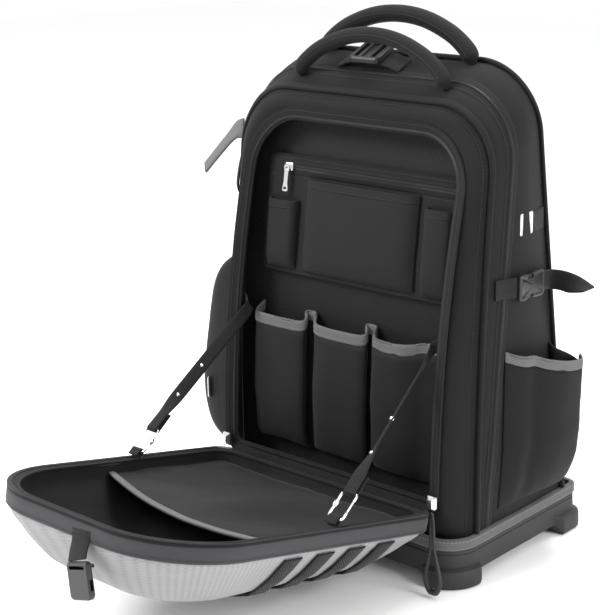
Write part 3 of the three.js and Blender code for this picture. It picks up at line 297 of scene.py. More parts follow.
# Woven cloth of every fabric on the pack: crossed threads, plain or twill, with slight unevenness
# from thread to thread, painted shade where each thread dips, and soft creases where it has been
# handled.
def new_group(name, inputs, outputs):
    tree = bpy.data.node_groups.new(name, "ShaderNodeTree")
    for label, kind, value in inputs:
        socket = tree.interface.new_socket(name=label, in_out="INPUT", socket_type=kind)
        if value is not None:
            socket.default_value = value
    for label, kind in outputs:
        tree.interface.new_socket(name=label, in_out="OUTPUT", socket_type=kind)
    return tree, tree.nodes.new("NodeGroupInput"), tree.nodes.new("NodeGroupOutput")


def sum_node(tree, operation, *values):
    node = tree.nodes.new("ShaderNodeMath")
    node.operation = operation
    for socket, value in zip(node.inputs, values):
        if isinstance(value, (int, float)):
            socket.default_value = value
        else:
            tree.links.new(value, socket)
    return node.outputs[0]


weave, weave_in, weave_out = new_group("weave", [
    ("Pattern", "NodeSocketVector", None),
    ("Threads per metre", "NodeSocketFloat", 1400.0),
    ("Repeat", "NodeSocketFloat", 2.0),
    ("Unevenness", "NodeSocketFloat", 0.35),
], [("Height", "NodeSocketFloat"), ("Shade", "NodeSocketFloat")])
stretch = weave.nodes.new("ShaderNodeVectorMath")
stretch.operation = "SCALE"
weave.links.new(weave_in.outputs["Pattern"], stretch.inputs[0])
weave.links.new(weave_in.outputs["Threads per metre"], stretch.inputs["Scale"])
split = weave.nodes.new("ShaderNodeSeparateXYZ")
weave.links.new(stretch.outputs[0], split.inputs[0])
warp_side, weft_side = split.outputs["X"], split.outputs["Y"]
cell = sum_node(
    weave, "ADD", sum_node(weave, "FLOOR", warp_side), sum_node(weave, "FLOOR", weft_side))
over = sum_node(
    weave, "LESS_THAN",
    sum_node(weave, "FLOORED_MODULO", cell, weave_in.outputs["Repeat"]),
    sum_node(weave, "MULTIPLY", weave_in.outputs["Repeat"], 0.5))
warp_bulge = sum_node(
    weave, "ABSOLUTE", sum_node(weave, "SINE", sum_node(weave, "MULTIPLY", warp_side, math.pi)))
weft_bulge = sum_node(
    weave, "ABSOLUTE", sum_node(weave, "SINE", sum_node(weave, "MULTIPLY", weft_side, math.pi)))
thread = sum_node(
    weave, "ADD",
    sum_node(weave, "MULTIPLY", warp_bulge, over),
    sum_node(weave, "MULTIPLY", weft_bulge, sum_node(weave, "SUBTRACT", 1.0, over)))
slub = weave.nodes.new("ShaderNodeTexNoise")
slub.inputs["Scale"].default_value = 0.35
slub.inputs["Detail"].default_value = 3.0
weave.links.new(stretch.outputs[0], slub.inputs["Vector"])
uneven = sum_node(
    weave, "MULTIPLY",
    sum_node(weave, "SUBTRACT", slub.outputs[0], 0.5), weave_in.outputs["Unevenness"])
weave_height = sum_node(weave, "ADD", thread, uneven)
weave.links.new(weave_height, weave_out.inputs["Height"])
# Painted shade: each thread is coloured darker at its edges, where it dips under its neighbours,
# and lighter on its crest. The unevenness added to it is random tone.
painted_thread_shade = sum_node(weave, "MULTIPLY_ADD", thread, 0.35, 0.78)
weave.links.new(sum_node(weave, "ADD", painted_thread_shade, uneven), weave_out.inputs["Shade"])

handling, handling_in, handling_out = new_group("handling", [
    ("Place", "NodeSocketVector", None),
    ("Crease size", "NodeSocketFloat", 18.0),
    ("Fade", "NodeSocketFloat", 0.25),
], [("Height", "NodeSocketFloat"), ("Shade", "NodeSocketFloat")])
crease = handling.nodes.new("ShaderNodeTexNoise")
crease.inputs["Detail"].default_value = 4.0
crease.inputs["Roughness"].default_value = 0.55
crease.inputs["Distortion"].default_value = 0.4
handling.links.new(handling_in.outputs["Place"], crease.inputs["Vector"])
handling.links.new(handling_in.outputs["Crease size"], crease.inputs["Scale"])
handling.links.new(crease.outputs[0], handling_out.inputs["Height"])
patch = handling.nodes.new("ShaderNodeTexNoise")
patch.inputs["Scale"].default_value = 7.0
patch.inputs["Detail"].default_value = 5.0
handling.links.new(handling_in.outputs["Place"], patch.inputs["Vector"])
patch_swing = sum_node(
    handling, "MULTIPLY",
    sum_node(handling, "SUBTRACT", patch.outputs[0], 0.5), handling_in.outputs["Fade"])
handling.links.new(sum_node(handling, "ADD", patch_swing, 1.0), handling_out.inputs["Shade"])


def tinted(tree, colour, *shades):
    """Colour that the given shade values darken or lighten over the surface."""
    result = None
    for shade in shades:
        node = tree.nodes.new("ShaderNodeVectorMath")
        node.operation = "SCALE"
        if result is None:
            node.inputs[0].default_value = colour
        else:
            tree.links.new(result, node.inputs[0])
        tree.links.new(shade, node.inputs["Scale"])
        result = node.outputs[0]
    return result


def woven(name, colour, roughness, threads, repeat, depth, sheen=0.2, crease_depth=0.5,
          crease_size=18.0, fade=0.25, uneven=0.35):
    material = bpy.data.materials.new(name)
    material.use_nodes = True
    tree = material.node_tree
    shader = tree.nodes["Principled BSDF"]
    shader.inputs["Roughness"].default_value = roughness
    shader.inputs["Sheen Weight"].default_value = sheen
    shader.inputs["Sheen Roughness"].default_value = 0.45
    shader.inputs["Specular IOR Level"].default_value = 0.14
    where = tree.nodes.new("ShaderNodeTexCoord")
    threads_node = tree.nodes.new("ShaderNodeGroup")
    threads_node.node_tree = weave
    threads_node.inputs["Threads per metre"].default_value = threads
    threads_node.inputs["Repeat"].default_value = repeat
    threads_node.inputs["Unevenness"].default_value = uneven
    tree.links.new(where.outputs["UV"], threads_node.inputs["Pattern"])
    use_node = tree.nodes.new("ShaderNodeGroup")
    use_node.node_tree = handling
    use_node.inputs["Crease size"].default_value = crease_size
    use_node.inputs["Fade"].default_value = fade
    tree.links.new(where.outputs["Object"], use_node.inputs["Place"])
    # Base colour carries the weave's painted thread shade with its random unevenness, and the
    # handling's random paler and darker patches.
    tree.links.new(
        tinted(tree, colour, threads_node.outputs["Shade"], use_node.outputs["Shade"]),
        shader.inputs["Base Color"])
    broad = tree.nodes.new("ShaderNodeBump")
    broad.inputs["Strength"].default_value = 1.0
    broad.inputs["Distance"].default_value = crease_depth / 1000
    tree.links.new(use_node.outputs["Height"], broad.inputs["Height"])
    close = tree.nodes.new("ShaderNodeBump")
    close.inputs["Strength"].default_value = 1.0
    close.inputs["Distance"].default_value = depth / 1000
    tree.links.new(threads_node.outputs["Height"], close.inputs["Height"])
    tree.links.new(broad.outputs[0], close.inputs["Normal"])
    tree.links.new(close.outputs[0], shader.inputs["Normal"])
    return material


body_cloth = woven("black body cloth", (0.0085, 0.0085, 0.0095), 0.66, 1300, 2.0, 0.10, sheen=0.05)

# Boot: one moulded rubber tray with a foot at each corner, glued and stitched to the body. Its
# skin has a fine pebble grain and is rubbed a little paler and smoother in patches.
grain, grain_in, grain_out = new_group("grain", [
    ("Place", "NodeSocketVector", None),
    ("Grain size", "NodeSocketFloat", 700.0),
], [("Height", "NodeSocketFloat"), ("Wear", "NodeSocketFloat")])
pebble = grain.nodes.new("ShaderNodeTexVoronoi")
grain.links.new(grain_in.outputs["Place"], pebble.inputs["Vector"])
grain.links.new(grain_in.outputs["Grain size"], pebble.inputs["Scale"])
grain.links.new(pebble.outputs["Distance"], grain_out.inputs["Height"])
rub = grain.nodes.new("ShaderNodeTexNoise")
rub.inputs["Scale"].default_value = 22.0
rub.inputs["Detail"].default_value = 6.0
grain.links.new(grain_in.outputs["Place"], rub.inputs["Vector"])
grain.links.new(rub.outputs[0], grain_out.inputs["Wear"])


def moulded(name, colour, roughness, size, depth, fade=0.35, swing=0.2, metallic=0.0):
    material = bpy.data.materials.new(name)
    material.use_nodes = True
    tree = material.node_tree
    shader = tree.nodes["Principled BSDF"]
    shader.inputs["Metallic"].default_value = metallic
    shader.inputs["Specular IOR Level"].default_value = 0.5
    where = tree.nodes.new("ShaderNodeTexCoord")
    skin = tree.nodes.new("ShaderNodeGroup")
    skin.node_tree = grain
    skin.inputs["Grain size"].default_value = size
    tree.links.new(where.outputs["Object"], skin.inputs["Place"])
    shade = sum_node(
        tree, "ADD",
        sum_node(tree, "MULTIPLY", sum_node(tree, "SUBTRACT", skin.outputs["Wear"], 0.5), fade), 1)
    tree.links.new(tinted(tree, colour, shade), shader.inputs["Base Color"])
    rough = sum_node(
        tree, "ADD",
        sum_node(tree, "MULTIPLY", sum_node(tree, "SUBTRACT", skin.outputs["Wear"], 0.5), swing),
        roughness)
    tree.links.new(rough, shader.inputs["Roughness"])
    bump = tree.nodes.new("ShaderNodeBump")
    bump.inputs["Distance"].default_value = depth / 1000
    tree.links.new(skin.outputs["Height"], bump.inputs["Height"])
    tree.links.new(bump.outputs[0], shader.inputs["Normal"])
    return material


boot_rubber = moulded("black boot rubber", (0.012, 0.012, 0.013), 0.55, 900, 0.25)
BOOT_H, BOOT_WALL, GROUND, SKIRT, BOOT_FLOOR, FOOT_OUT, FOOT_REACH = 31, 5, -10, 2, 4, 8, 44
BOOT_FRONT_Y = -3
BOOT_IN_HALF = HALF_W + 0.3
boot_rear_y = rear_y(BODY_LOW) + 13.3
boot_edge = outline(
    BOOT_IN_HALF + BOOT_WALL, BOOT_FRONT_Y, boot_rear_y + BOOT_WALL, 12, 34, fine=9)


def near_corner(x, y):
    front, back = BOOT_FRONT_Y, boot_rear_y + BOOT_WALL
    middle, half = (front + back) / 2, (back - front) / 2
    return (ease((abs(x) - (BOOT_IN_HALF + BOOT_WALL - FOOT_REACH)) / 9)
            * ease((abs(y - middle) - (half - FOOT_REACH)) / 9))


def boot_ring(out, foot_out, z, lift, share=1.0):
    ring = []
    middle = (BOOT_FRONT_Y + boot_rear_y) / 2
    for x, y, nx, ny in boot_edge:
        corner = near_corner(x, y)
        off = out + foot_out * corner
        px, py = x + nx * off, y + ny * off
        ring.append(Vector((px * share, mix(middle, py, share), z + lift * (1 - corner))))
    return ring


boot = loft("boot", [
    boot_ring(-BOOT_WALL, 0, SKIRT, 0, 0.4),
    boot_ring(-11.8, 0, SKIRT, 0),
    boot_ring(-11, 0, GROUND, SKIRT - GROUND),
    boot_ring(-4, FOOT_OUT - 2, GROUND, SKIRT - GROUND),
    boot_ring(-1.4, FOOT_OUT - 0.6, GROUND + 0.6, SKIRT - GROUND),
    boot_ring(-0.2, FOOT_OUT, GROUND + 3, SKIRT - GROUND - 1.6),
    boot_ring(0, FOOT_OUT, GROUND + 5, SKIRT - GROUND - 2),
    boot_ring(0, FOOT_OUT - 0.4, SKIRT + 5, 0),
    boot_ring(0.2, FOOT_OUT - 1.6, SKIRT + 8, 0),
    boot_ring(0.3, 0.8, SKIRT + 10.5, 0),
    boot_ring(0.3, 0, BOOT_H - 5, 0),
    boot_ring(-0.5, 0, BOOT_H - 4.4, 0),
    boot_ring(-0.5, 0, BOOT_H - 3.6, 0),
    boot_ring(0.3, 0, BOOT_H - 3, 0),
    boot_ring(0, 0, BOOT_H - 0.3, 0),
    boot_ring(-0.5, 0, BOOT_H, 0),
    boot_ring(-BOOT_WALL, 0, BOOT_H, 0),
    boot_ring(-BOOT_WALL, 0, SKIRT + BOOT_FLOOR, 0),
    boot_ring(-BOOT_WALL, 0, SKIRT + BOOT_FLOOR, 0, 0.4),
], sharp=32)
finish_piece(boot, boot_rubber, "boot_rubber", "base_boot")

# Base trim: a grey ribbed tape sewn over the joint of body and boot with one row of stitches
# near each edge.
grey_tape = woven("grey ribbed tape", (0.115, 0.115, 0.118), 0.7, 1000, 2.0, 0.25, sheen=0.08,
                  crease_depth=0.3)
trim_rings = []
for out, z in ((0.2, 31.3), (1.2, 31.9), (1.7, 34), (1.9, 37), (1.7, 40.4), (1.2, 42.4), (0.2, 43),
               (-4.4, 43), (-4.4, 37), (-4.4, 31.3)):
    trim_rings.append(boot_ring(out, 0, z, 0))
trim = loft("base_trim", trim_rings, hoop=True, ripple=(0.35, 26, 3.1))
finish_piece(trim, grey_tape, "binding_fabric", "base_trim")


def stitches(name, path, material, length=3.0, pitch=4.2, radius=0.42):
    """A row of thread stitches along a path of points that lie on the cloth."""
    vertices, faces = [], []
    run = 0.0
    due = pitch / 2
    for a, b in zip(path, path[1:]):
        span = (b - a).length
        if span < 1e-6:
            continue
        along = (b - a) / span
        side = along.orthogonal().normalized()
        other = along.cross(side)
        while due <= run + span:
            middle = a + along * (due - run)
            first = len(vertices)
            for t, r in ((-0.5, 0.45), (-0.25, 1.0), (0.25, 1.0), (0.5, 0.45)):
                for u, v in ((1, 0), (0, 1), (-1, 0), (0, -1)):
                    spot = middle + along * (t * length)
                    vertices.append(spot + (side * u + other * v) * (r * radius))
            for ring in range(3):
                for k in range(4):
                    i = first + ring * 4 + k
                    j = first + ring * 4 + (k + 1) % 4
                    faces.append((i, j, j + 4, i + 4))
            faces.append((first + 3, first + 2, first + 1, first))
            faces.append((first + 12, first + 13, first + 14, first + 15))
            due += pitch
        run += span
    mesh = bpy.data.meshes.new(name)
    mesh.from_pydata([at(*p) for p in vertices], [], faces)
    mesh.polygons.foreach_set("use_smooth", [True] * len(mesh.polygons))
    piece = bpy.data.objects.new(name, mesh)
    bpy.context.collection.objects.link(piece)
    return piece


thread_black = moulded("black thread", (0.018, 0.018, 0.019), 0.5, 2500, 0.05)
thread_grey = moulded("grey thread", (0.24, 0.24, 0.25), 0.55, 2500, 0.05)
for row, z in enumerate((33.2, 41.2)):
    ring = boot_ring(1.75, 0, z, 0)
    finish_piece(
        stitches(f"base_trim_stitches_{row}", ring + ring[:1], thread_grey),
        thread_grey, "binding_fabric")

# Gussets: two bands of heavy cloth that form the sides and top of the pack, front of the main
# zip and behind it. They are cut a little full, so the panels swell and pucker at the seams.
def hoop_band(name, depths, inner=3.0, puff=0.0, ripple=(0.9, 55, 1.7), steps=10):
    rings = []
    total = steps
    for i in range(total + 1):
        s = i / total
        depth = (lambda z, s=s: mix(depths[0](z), depths[1](z), s))
        tuck = 1.1 * (1 - min(1.0, min(s, 1 - s) * 12))
        rings.append(body_ring(puff * 4 * s * (1 - s) - tuck, depth))
    for i in range(total, -1, -max(1, total // 3)):
        s = i / total
        depth = (lambda z, s=s: mix(depths[0](z), depths[1](z), s))
        rings.append(body_ring(-inner, depth))
    return loft(name, rings, hoop=True, ripple=ripple)


front_gusset = hoop_band(
    "front_gusset", (lambda z: seam_y(z) + 1.8, lambda z: zip_y(z) - 0.3), puff=1.6, steps=8,
    ripple=(0.5, 60, 2.2))
finish_piece(front_gusset, body_cloth, "body_fabric", "front_gusset")
rear_gusset = hoop_band(
    "rear_gusset", (zip_y, rear_y), puff=2.0, steps=22, ripple=(1.6, 75, 5.4))
finish_piece(rear_gusset, body_cloth, "body_fabric", "rear_gusset")


def arch(profile, depth, low=43.6):
    """Bar along the arch: up the right side from the trim, over the top and down the left."""
    first, last = 7 * FINE, len(body_edge) - 3 * FINE
    rings = []
    for x, z, nx, nz in body_edge[first:last + 1]:
        spot = (x, max(z, low), nx, nz)
        rings.append([
            body_point(spot, out, lambda at_z, back=back: depth(at_z) + back)
            for out, back in profile])
    return rings


piping_cloth = woven("piping cloth", (0.007, 0.007, 0.0075), 0.5, 2200, 2.0, 0.08, sheen=0.06)
cord_profile = [
    (3.0 + 2.8 * math.cos(a / 12 * math.tau), 2.8 * math.sin(a / 12 * math.tau))
    for a in range(12)]
for name, depth, node in (
        ("piping_by_the_front_seam", lambda z: seam_y(z) + 1.5, "piping_front"),
        ("piping_by_the_rear_seam", lambda z: rear_y(z) - 2.8, "piping_rear")):
    cord = loft(name, arch(cord_profile, depth))
    finish_piece(cord, piping_cloth, "piping", node)

# Main zip: coil tape round the arch of the body, closed, with two rows of teeth and a row of
# stitches along each side, where it is sewn between the gussets.
tape_cloth = woven("black zip tape", (0.009, 0.009, 0.0095), 0.6, 1900, 4.0, 0.10, sheen=0.05)
zip_plastic = moulded("black zip coil", (0.026, 0.026, 0.028), 0.32, 2500, 0.03)
tape_profile = [
    (0.7, -8), (1.5, -8.2), (1.9, -7), (2.0, -3.4), (2.3, -3), (2.3, 3), (2.0, 3.4), (1.9, 7),
    (1.5, 8.2), (0.7, 8), (0.6, 0)]
main_zip = loft("main_zip_tape", arch(tape_profile, zip_y))
finish_piece(main_zip, tape_cloth, "zip_tape", "main_zip")


def zip_coil(name, path, ups, pitch=2.1, reach=2.1, rows=(-1, 1), height=1.2, thick=1.15):
    """Coil teeth of a zip: path runs along its middle, ups point away from the tape."""
    vertices, faces = [], []
    run, due, count = 0.0, pitch / 2, 0
    box_faces = ((0, 1, 2, 3), (7, 6, 5, 4), (0, 4, 5, 1), (1, 5, 6, 2), (2, 6, 7, 3), (3, 7, 4, 0))
    for i in range(len(path) - 1):
        a, b = path[i], path[i + 1]
        span = (b - a).length
        if span < 1e-6:
            continue
        along = (b - a) / span
        while due <= run + span:
            s = (due - run) / span
            middle = a.lerp(b, s)
            up = ups[i].lerp(ups[i + 1], s)
            up = (up - along * up.dot(along)).normalized()
            across = along.cross(up)
            for row in rows:
                shift = along * (pitch / 2 if row > 0 else 0.0)
                first = len(vertices)
                for w, h, t in ((0.05, 0.15, 0.9), (0.05, 1.0, 0.55), (1.0, 0.55, 0.75),
                                (1.0, 0.0, 1.0)):
                    for side in (-1, 1):
                        vertices.append(
                            middle + shift + across * (row * w * reach) + up * (h * height)
                            + along * (side * t * thick / 2))
                order = (0, 2, 4, 6, 1, 3, 5, 7)
                for quad in box_faces:
                    faces.append(tuple(first + order[q] for q in quad))
            due += pitch
            count += 1
        run += span
    mesh = bpy.data.meshes.new(name)
    mesh.from_pydata([at(*p) for p in vertices], [], faces)
    piece = bpy.data.objects.new(name, mesh)
    bpy.context.collection.objects.link(piece)
    return piece


main_zip_path = [ring[0] for ring in arch([(2.2, 0)], zip_y)]
main_zip_ups = []
for x, z, nx, nz in body_edge[7 * FINE:len(body_edge) - 3 * FINE + 1]:
    main_zip_ups.append(Vector((nx, 0, nz)))
finish_piece(
    zip_coil("main_zip_coil", main_zip_path, main_zip_ups), zip_plastic, "zip_tape")
for side, back in (("front", -6.6), ("rear", 6.6)):
    path = [ring[0] for ring in arch([(2.15, back)], zip_y)]
    finish_piece(
        stitches(f"main_zip_stitches_{side}", path, thread_black), thread_black, "zip_tape")

# Front border: the padded frame round the opening, of body cloth over foam, with a pressed and
# stitched line near each edge where the foam is sewn down.
def border_y(share, z):
    crown = 9 * 4 * share * (1 - share)
    return mix(front_y(z), seam_y(z), share) - crown


border_rings = []
for i in range(25):
    s = i / 24
    groove = 1.3 * math.exp(-((s - 0.86) / 0.035) ** 2) + 0.7 * math.exp(-((s - 0.14) / 0.03) ** 2)
    border_rings.append(face_ring(s, 0, lambda z, s=s, g=groove: border_y(s, z) + g))
for s, back in ((1.0, 1.5), (0.75, 3), (0.5, 3), (0.25, 3), (0.0, 3)):
    border_rings.append(face_ring(s, -0.01, lambda z, s=s, b=back: border_y(s, z) + b))
border = loft("front_border", border_rings, hoop=True, ripple=(0.7, 48, 8.3))
finish_piece(border, body_cloth, "body_fabric", "front_border")
for side, share in (("inner", 0.14), ("outer", 0.86)):
    ring = face_ring(share, 0, lambda z, s=share: border_y(s, z) + 0.35)
    finish_piece(
        stitches(f"border_stitches_{side}", ring + ring[:1], thread_black), thread_black,
        "body_fabric")

# Opening zip: half of a heavy coil zip sewn along the border's inner edge, standing a little
# forward, its teeth facing the hollow.
RIM_BACK = 0.4
rim_rings = []
for off, front in ((-7, 0.0), (-7, 2.4), (-5.6, 2.9), (0, 5.0), (5.6, 7.2), (7, 7.7), (7, 5.5),
                   (0, 2.75)):
    rim_rings.append(face_ring(0, off, lambda z, f=front: front_y(z) + RIM_BACK - f))
rim = loft("opening_zip_tape", rim_rings, hoop=True, ripple=(0.3, 40, 4.4))
finish_piece(rim, tape_cloth, "zip_tape", "front_rim")
rim_path = face_ring(0, -4.6, lambda z: front_y(z) + RIM_BACK - 3.3)
rim_ups = [Vector((0, -1, 0))] * len(rim_path)
rim_coil = zip_coil(
    "opening_zip_coil", rim_path + rim_path[:1], rim_ups + rim_ups[:1], rows=(1,), reach=2.6,
    height=1.6, thick=1.3)
finish_piece(rim_coil, zip_plastic, "zip_tape")
rim_stitch_path = face_ring(0, 3.6, lambda z: front_y(z) + RIM_BACK - 6.7)
finish_piece(
    stitches("opening_zip_stitches", rim_stitch_path + rim_stitch_path[:1], thread_black),
    thread_black, "zip_tape")

# Divider: a stiff board covered in plain lining cloth, sewn in across the body behind the
# opening. It carries the pockets and leaves a second hollow behind it.
lining_cloth = woven(
    "black pocket cloth", (0.011, 0.011, 0.012), 0.58, 1700, 2.0, 0.07, sheen=0.06,
    crease_depth=1.0, crease_size=12.0)


def shrunk(ring, share, depth):
    middle = (BODY_LOW + BODY_TOP) / 2
    result = []
    for p in ring:
        z = mix(middle, p.z, share)
        result.append(Vector((p.x * share, depth(z), z)))
    return result


panel_outer = body_ring(-3.6, panel_y)
panel_rings = [shrunk(panel_outer, s, panel_y) for s in (0.08, 0.25, 0.45, 0.65, 0.85, 1.0)]
panel_rings += [shrunk(panel_outer, s, lambda z: panel_y(z) + 5) for s in (1.0, 0.65, 0.3)]
divider = loft("divider", panel_rings, ripple=(0.4, 50, 9.9))
finish_piece(divider, lining_cloth, "lining_fabric", "inner_panel")

# Back panel: foam under smooth black cloth, quilted round its edge, where the pack rests on the
# wearer. It is sewn in by the rear piping.
back_rings = [
    body_ring(-0.2, lambda z: rear_y(z) + 0.3), body_ring(0.2, lambda z: rear_y(z) + 2.4),
    body_ring(-0.8, lambda z: rear_y(z) + 4.8)]
for share, back in ((0.972, 7.6), (0.95, 9.8), (0.93, 10.6), (0.915, 9.6), (0.9, 10.8),
                    (0.86, 12.2), (0.8, 12.8), (0.7, 13), (0.6, 13), (0.5, 13), (0.4, 13),
                    (0.3, 13), (0.2, 13),
                    (0.1, 13)):
    back_rings.append(
        shrunk(back_rings[0], share, lambda z, back=back: rear_y(z) + back))
back_panel = loft("back_panel", back_rings, ripple=(0.7, 60, 12.5))
finish_piece(back_panel, body_cloth, "body_fabric", "back_panel")
back_seam = shrunk(back_rings[0], 0.915, lambda z: rear_y(z) + 9.9)
finish_piece(
    stitches("back_panel_stitches", back_seam + back_seam[:1], thread_black), thread_black,
    "body_fabric")


# Organiser board: a foam pad covered in pocket cloth and sewn to the divider along its edge, with
# two stitched lines across it.
def spline(points, steps, closed=False):
    """Points of a smooth curve through the given ones, with so many steps in each span."""
    count = len(points)
    result = []
    for i in range(count if closed else count - 1):
        if closed:
            p0, p1, p2, p3 = (points[(i + k) % count] for k in (-1, 0, 1, 2))
        else:
            p1, p2 = points[i], points[i + 1]
            p0 = points[i - 1] if i else p1 * 2 - p2
            p3 = points[i + 2] if i + 2 < count else p2 * 2 - p1
        for k in range(steps):
            s = k / steps
            result.append(
                (p1 * 2 + (p2 - p0) * s + (p0 * 2 - p1 * 5 + p2 * 4 - p3) * s * s
                 + (p1 * 3 - p0 - p2 * 3 + p3) * s * s * s) * 0.5)
    if not closed:
        result.append(points[-1].copy())
    return result


def slab(name, edge, profile, place, ripple=None, sharp=38):
    """Flat or crowned body: an outline drawn in by each inset of the profile at its height."""
    rings = []
    for inset, height in profile:
        rings.append([place(x - nx * inset, height, z - nz * inset) for x, z, nx, nz in edge])
    return loft(name, rings, ripple=ripple, sharp=sharp)


def cloth(name, rows, thickness, ripple=None, sharp=38):
    """Cloth of one thickness over rows of points."""
    return thicken(loft(name, rows, wrap=False, ripple=ripple, sharp=sharp), thickness, 0.0)


def on_panel(x, h, z):
    return Vector((x, panel_y(z) - h, z))


BOARD_LOW, BOARD_HIGH, BOARD_SEAT, BOARD_T = 278, 408, 0.9, 8
board_middle = (BOARD_LOW + BOARD_HIGH) / 2
board = slab(
    "organiser_board", outline(135, -65, 65, 9, 5, fine=6),
    [(3, 0), (0.4, 0.4), (0, 3), (0.5, 5.6), (2.2, 7.2), (3.4, 7.0), (4.6, 7.6), (9, 8.1),
     (20, 8.3), (34, 8.3), (50, 8.3), (62, 8.3)],
    lambda x, h, z: on_panel(x, BOARD_SEAT + h, z + board_middle), ripple=(0.35, 34, 7.7))
finish_piece(board, lining_cloth, "lining_fabric", "organiser_board")
board_face = BOARD_SEAT + BOARD_T


STITCH_HALF = 131
for name, z, lift in (("top", 404.5, -0.7), ("low", 281.4, -0.7), ("under_zip", 385.5, 0.45)):
    path = [
        on_panel(mix(-STITCH_HALF, STITCH_HALF, s / 40), board_face + lift, z) for s in range(41)]
    finish_piece(
        stitches("board_stitches_" + name, path, thread_black), thread_black, "lining_fabric")

# Pockets on the board: a flat one, a narrow one and one for pens, each cut a little wide so that
# its mouth stands open, with a hemmed top edge.
POCKET_T, POCKET_BULGE, POCKET_LOW = 1.6, 9, 286
pocket_columns = ((0, 0), (0.05, 0.62), (0.14, 0.9), (0.35, 1), (0.65, 1), (0.86, 0.9),
                  (0.95, 0.62), (1, 0))


def grid(path, rows, place, across=5, along=4):
    """Rows of points for cloth that follows a path of (place, bulge) at each (level, fullness)."""
    smooth_path = spline([Vector((a, h, 0)) for a, h in path], across)
    smooth_rows = spline([Vector((z, scale, 0)) for z, scale in rows], along)
    return [[place(p.x, p.y * r.y, r.x) for p in smooth_path] for r in smooth_rows]


board_pockets = (("flat_pocket", -72, 82, 386), ("narrow_pocket", 93, 129, 376),
                 ("pen_pocket", -124, -84, 360))
for seed, (name, x0, x1, high) in enumerate(board_pockets):
    path = [(mix(x0, x1, s), h * POCKET_BULGE) for s, h in pocket_columns]
    seat = board_face + 0.6 + 1.0
    place = (lambda x, h, z, seat=seat: on_panel(x, seat + h, z))
    levels = ((POCKET_LOW, 0.15), (POCKET_LOW + 5, 0.6), (mix(POCKET_LOW, high, 0.25), 0.92),
              (mix(POCKET_LOW, high, 0.7), 0.97), (high, 1))
    pocket = cloth(name, grid(path, levels, place), POCKET_T, ripple=(0.8, 26, 4.1 + seed * 7))
    hem = cloth(
        name + "_hem", grid(path, ((high - 8, 1.0), (high - 4, 1.0), (high + 0.4, 1.0)), place),
        POCKET_T + 1.2)
    finish_piece(pocket, lining_cloth, "lining_fabric", name)
    finish_piece(hem, lining_cloth, "lining_fabric")
    row = [place(p.x, p.y + 1.5, high - 7) for p in spline([Vector((a, h, 0)) for a, h in path], 5)]
    finish_piece(
        stitches(name + "_stitches", row, thread_black), thread_black, "lining_fabric")

# Board zip: a closed coil zip on ribbed tape across the top of the board. Its metal slider rests
# at the left end, and a long nickel tab with a slot hangs from it and swings.
bright_metal = moulded("bright nickel", (0.72, 0.72, 0.73), 0.24, 1500, 0.01, fade=0.1, swing=0.18,
                       metallic=1.0)
ZIP_X0, ZIP_X1, ZIP_Z = -97, 130, 396
zip_rows = []
for z, h in ((-7.6, 0.2), (-7.2, 1.5), (-3.4, 2.2), (-3.0, 1.5), (3.0, 1.5), (3.4, 2.2), (7.2, 1.5),
             (7.6, 0.2)):
    zip_rows.append([
        on_panel(mix(ZIP_X0, ZIP_X1, s / 30), board_face + 0.3 + h, ZIP_Z + z) for s in range(31)])
finish_piece(
    thicken(loft("board_zip_tape", zip_rows, wrap=False, sharp=60), 0.5), tape_cloth, "zip_tape",
    "inner_zip")
board_zip_path = [
    on_panel(mix(ZIP_X0, ZIP_X1, s / 60), board_face + 1.7, ZIP_Z) for s in range(61)]
finish_piece(
    zip_coil("board_zip_coil", board_zip_path, [Vector((0, -1, 0))] * 61, pitch=2.0, reach=2.8,
             height=1.3, thick=1.3),
    zip_plastic, "zip_tape")


def carve(piece, *boxes):
    """Cuts boxes out of a piece; each is a place function and its low and high corners."""
    for place, low, high in boxes:
        corners = [
            place(*(high[k] if i >> k & 1 else low[k] for k in range(3))) for i in range(8)]
        cutter_mesh = bpy.data.meshes.new("cutter")
        cutter_mesh.from_pydata([at(*p) for p in corners], [], [
            (0, 2, 3, 1), (4, 5, 7, 6), (0, 1, 5, 4), (2, 6, 7, 3), (0, 4, 6, 2), (1, 3, 7, 5)])
        face_outward(cutter_mesh)
        cutter = bpy.data.objects.new("cutter", cutter_mesh)
        bpy.context.collection.objects.link(cutter)
        cut = piece.modifiers.new("cut", "BOOLEAN")
        cut.operation = "DIFFERENCE"
        cut.object = cutter
        settle(piece)
        bpy.data.objects.remove(cutter)
    piece.data.set_sharp_from_angle(angle=math.radians(32))
    return piece


def plate_profile(thickness, bevel=0.5):
    half = thickness / 2
    return [(3 * bevel, -half), (bevel, -half), (0, -half + bevel), (0, half - bevel),
            (bevel, half), (3 * bevel, half)]



def from_pattern(point):
    """A place in the row frame, brought back to the pattern's millimetres."""
    return Vector((
        (point[0] - MIDDLE_X) * 1000, (point[1] - FRONT_Y) * 1000, point[2] * 1000 - FEET))


def box_middle(node):
    """Middle of a node's box, in the pattern's millimetres."""
    low, high = (from_pattern(corner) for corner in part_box(node))
    return (low + high) / 2


BOARD_SLOPE = math.atan2(panel_y(408) - panel_y(368), 40)


def leaning(middle):
    """Place on a plate that leans back with the board: x across, h towards the viewer, z up."""
    sin, cos = math.sin(BOARD_SLOPE), math.cos(BOARD_SLOPE)
    return lambda x, h, z: middle + Vector((x, z * sin - h * cos, z * cos + h * sin))


